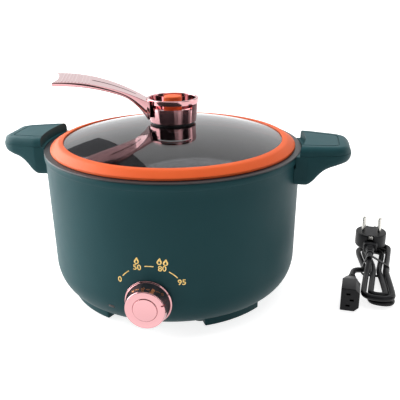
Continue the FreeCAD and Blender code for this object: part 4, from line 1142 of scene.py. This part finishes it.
def leadConnector():
    c = connector
    middle = c["size"][2] / 2
    bm = prism(connectorOutline(), 0, c["size"][1])
    ends = [e for e in bm.edges if abs(e.verts[0].co.z - e.verts[1].co.z) < 1e-6
            and e.calc_face_angle(0) > 0.5]
    soften(bm, ends, 0.8, 3)
    moved(bm, turnAbout("X", 90) @ Matrix.Scale(-1, 4, (0, 0, 1)))
    bmesh.ops.recalc_face_normals(bm, faces=bm.faces)
    shoulder = bmesh.new()
    small = [(x * c["taper"][0], middle + (z - middle) * c["taper"][1]) for x, z in connectorOutline()]
    loops = []
    for y, line in zip(c["shoulder"], (connectorOutline(0.4), small)):
        loops += wire(shoulder, line, lambda x, z: (x * mm, y * mm, z * mm))
    edges = [g for g in loops if isinstance(g, bmesh.types.BMEdge)]
    bmesh.ops.bridge_loops(shoulder, edges=edges)
    bmesh.ops.holes_fill(shoulder, edges=[e for e in shoulder.edges if len(e.link_faces) == 1], sides=0)
    bmesh.ops.recalc_face_normals(shoulder, faces=shoulder.faces)
    bm = carved(bm, shoulder, "UNION")
    relief = moved(reliefForm(*c["relief"]), shift(0, c["shoulder"][1] - 0.5, middle) @ turnAbout("X", -90))
    bm = carved(bm, relief, "UNION")
    for x, z in c["slots"]:
        bm = carved(bm, brick(c["slot"], (x, 0, z), 0.2))
    moved(bm, leadPlace() @ shift(*c["place"], 0))
    return piece("leadConnector", bm, "mains_lead", "blackRubber", ["lead_connector"])


def leadPlug():
    p = plug
    low, high, radius = p["low"], p["low"] + p["height"], p["radius"]
    bm = spun(softLine([(0, low, 0), (radius, low, 4), (radius, high, 1.4), (0, high, 0)], 6), 96)
    height = low + p["neckUp"]
    bm = carved(bm, brick(p["neck"], (0, 1 - radius, height), 3.5, 4), "UNION")
    relief = moved(reliefForm(*p["relief"]), shift(0, -radius, height) @ turnAbout("X", 90))
    bm = carved(bm, relief, "UNION")
    for side in (-1, 1):
        bm = carved(bm, brick(p["groove"], (0, side * (radius - 1), low + 17), 0.5))
    moved(bm, leadPlace() @ shift(*p["place"], 0))
    return piece("leadPlug", bm, "mains_lead", "blackRubber", ["lead_plug"])


def plugPins():
    # two round pins, and the earth clips in the grooves at the sides
    p = plug
    low, radius = p["low"], p["pinRadius"]
    line = softLine([(0, low + 18, 0), (radius, low + 18, 0), (radius, low + p["pinTop"], 1.3),
                     (0, low + p["pinTop"], 0)], 4)
    bm = bmesh.new()
    for side in (-1, 1):
        merged(bm, moved(spun(line, 32), shift(side * p["pinHalf"], 0, 0)))
        merged(bm, brick(p["earth"], (0, side * 16.1, low + 12.5), 0.3))
    moved(bm, leadPlace() @ shift(*p["place"], 0))
    return piece("plugPins", bm, "mains_lead", "platedPin", ["plug_pins"])


leadParts = [leadConnector(), leadPlug(), plugPins()]
print("lead finished")


# Finishes of the pieces that keep their own shape from the frame
nodeFinishes = {
    "bottom_cover": "greenCoat", "foot_pads": "blackRubber", "bottom_screws": "turnedSteel",
    "handle_screws": "turnedSteel", "thermostat": "paleMoulding", "thermostat_bracket": "sheetSteel",
    "inlet_socket": "darkPlastic", "inlet_pins": "contactBrass", "inlet_screws": "turnedSteel",
    "indicator_lamp": "lampRed", "heating_element": "heatTintedSteel", "heat_shield": "sheetSteel",
    "pan_studs": "turnedSteel", "stud_nuts": "turnedSteel", "thermal_fuse": "paleMoulding",
    "thermostat_shaft": "turnedSteel", "knob_gasket": "blackRubber", "vent_tube": "turnedSteel",
    "lid_washer": "clearSilicone", "lid_nut": "turnedSteel", "lead_tie": "blackRubber",
}


def dressNodes():
    for node, finish in nodeFinishes.items():
        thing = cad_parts[node]
        thing.data.materials.clear()
        thing.data.materials.append(finishes[finish])
        thing.data.shade_smooth()
        thing.data.set_sharp_from_angle(angle=math.radians(30))


dressNodes()
print("frame nodes dressed")


# Floor, light and surround: white to the eye and in reflections, low in its own light, so that the
# lamps shape the pot
studio = {
    "room": 0.12, "floorSize": 60.0, "floorGlow": 0.82, "floorTone": 205,
    "sky": (2.0, 60, (0.1, 0.35, 1.0)),
    "lamps": [("leftLight", 76.0, (2.8, 1.8), (-1.6, 0.25, 0.75)),
              ("stripLight", 2.0, (0.5, 1.2), (1.25, -1.3, 0.8)),
              ("edgeLight", 3.0, (0.3, 1.3), (1.35, 0.5, 0.7))],
    "cards": [("frontCard", (4.4, 3.0), (-0.9, -2.6, 1.3), (0, 0, 0.15)),
              ("rightCard", (1.4, 2.2), (2.25, -0.6, 1.0), (0, 0, 0.15)),
              ("backCard", (0.9, 1.25), (-1.16, 1.4, 1.45), (0, 0, 0.15)),
              ("lowCard", (1.9, 1.0), (-0.25, -1.0, 0.01), None)],
}


def seenDirectly(nodes, links):
    # 1 for what the camera sees, straight, mirrored or through glass, 0 for light on matt surfaces
    path = nodes.new("ShaderNodeLightPath")
    total = path.outputs["Is Camera Ray"]
    for ray in ("Is Glossy Ray", "Is Transmission Ray"):
        add = nodes.new("ShaderNodeMath")
        add.operation = "MAXIMUM"
        links.new(total, add.inputs[0])
        links.new(path.outputs[ray], add.inputs[1])
        total = add.outputs["Value"]
    return total


def ranged(nodes, links, source, low, high):
    level = nodes.new("ShaderNodeMapRange")
    level.inputs["To Min"].default_value = low
    level.inputs["To Max"].default_value = high
    links.new(source, level.inputs["Value"])
    return level.outputs["Result"]


def panel(name, power, size, place, aim=(0, 0, 0.1)):
    light = bpy.data.lights.new(name, "AREA")
    light.energy = power
    light.shape = "RECTANGLE"
    light.size, light.size_y = size
    thing = bpy.data.objects.new(name, light)
    scene.collection.objects.link(thing)
    thing.location = place
    thing.rotation_euler = (Vector(aim) - Vector(place)).to_track_quat("-Z", "Y").to_euler()
    return thing


def skylight(strength, spread, source):
    # parallel light, softened by the width of its source in degrees
    light = bpy.data.lights.new("skylight", "SUN")
    light.energy = strength
    light.angle = math.radians(spread)
    thing = bpy.data.objects.new("skylight", light)
    scene.collection.objects.link(thing)
    thing.rotation_euler = Vector(source).to_track_quat("Z", "Y").to_euler()
    thing.visible_glossy = False


def stagePlane(name, size, place, aim, material):
    bm = bmesh.new()
    bmesh.ops.create_grid(bm, x_segments=1, y_segments=1, size=0.5)
    bmesh.ops.scale(bm, vec=(size[0], size[1], 1), verts=bm.verts)
    mesh = bpy.data.meshes.new(name)
    bm.to_mesh(mesh)
    bm.free()
    plane = bpy.data.objects.new(name, mesh)
    scene.collection.objects.link(plane)
    plane.location = place
    if aim:
        plane.rotation_euler = (Vector(aim) - Vector(place)).to_track_quat("Z", "Y").to_euler()
    mesh.materials.append(material)
    return plane


def darkCards():
    # black cards that only show in polished surfaces
    cardBlack = Finish("cardBlack", tone(20, 20, 20), 0.9).material
    for name, size, place, aim in studio["cards"]:
        card = stagePlane(name, size, place, aim, cardBlack)
        card.visible_camera = False
        card.visible_diffuse = False
        card.visible_shadow = False
        card.visible_transmission = False


def surround():
    world = bpy.data.worlds.new("studio")
    scene.world = world
    world.use_nodes = True
    nodes, links = world.node_tree.nodes, world.node_tree.links
    back = nodes["Background"]
    strength = ranged(nodes, links, seenDirectly(nodes, links), studio["room"], 1.0)
    links.new(strength, back.inputs["Strength"])
    back.inputs["Color"].default_value = (1, 1, 1, 1)


def paleFloor():
    pale = studio["floorTone"]
    f = Finish("paleFloor", tone(pale, pale, pale), 0.9)
    f.set("Specular IOR Level", 0.0)
    f.set("Emission Color", (1, 1, 1, 1))
    glow = ranged(f.nodes, f.links, seenDirectly(f.nodes, f.links), 0.0, studio["floorGlow"])
    f.link(glow, f.shader.inputs["Emission Strength"])
    side = studio["floorSize"]
    stagePlane("floor", (side, side), (0, 0, -0.0002), None, f.material)


surround()
paleFloor()
darkCards()
skylight(*studio["sky"])
for lamp in studio["lamps"]:
    panel(*lamp)
print("studio lit")
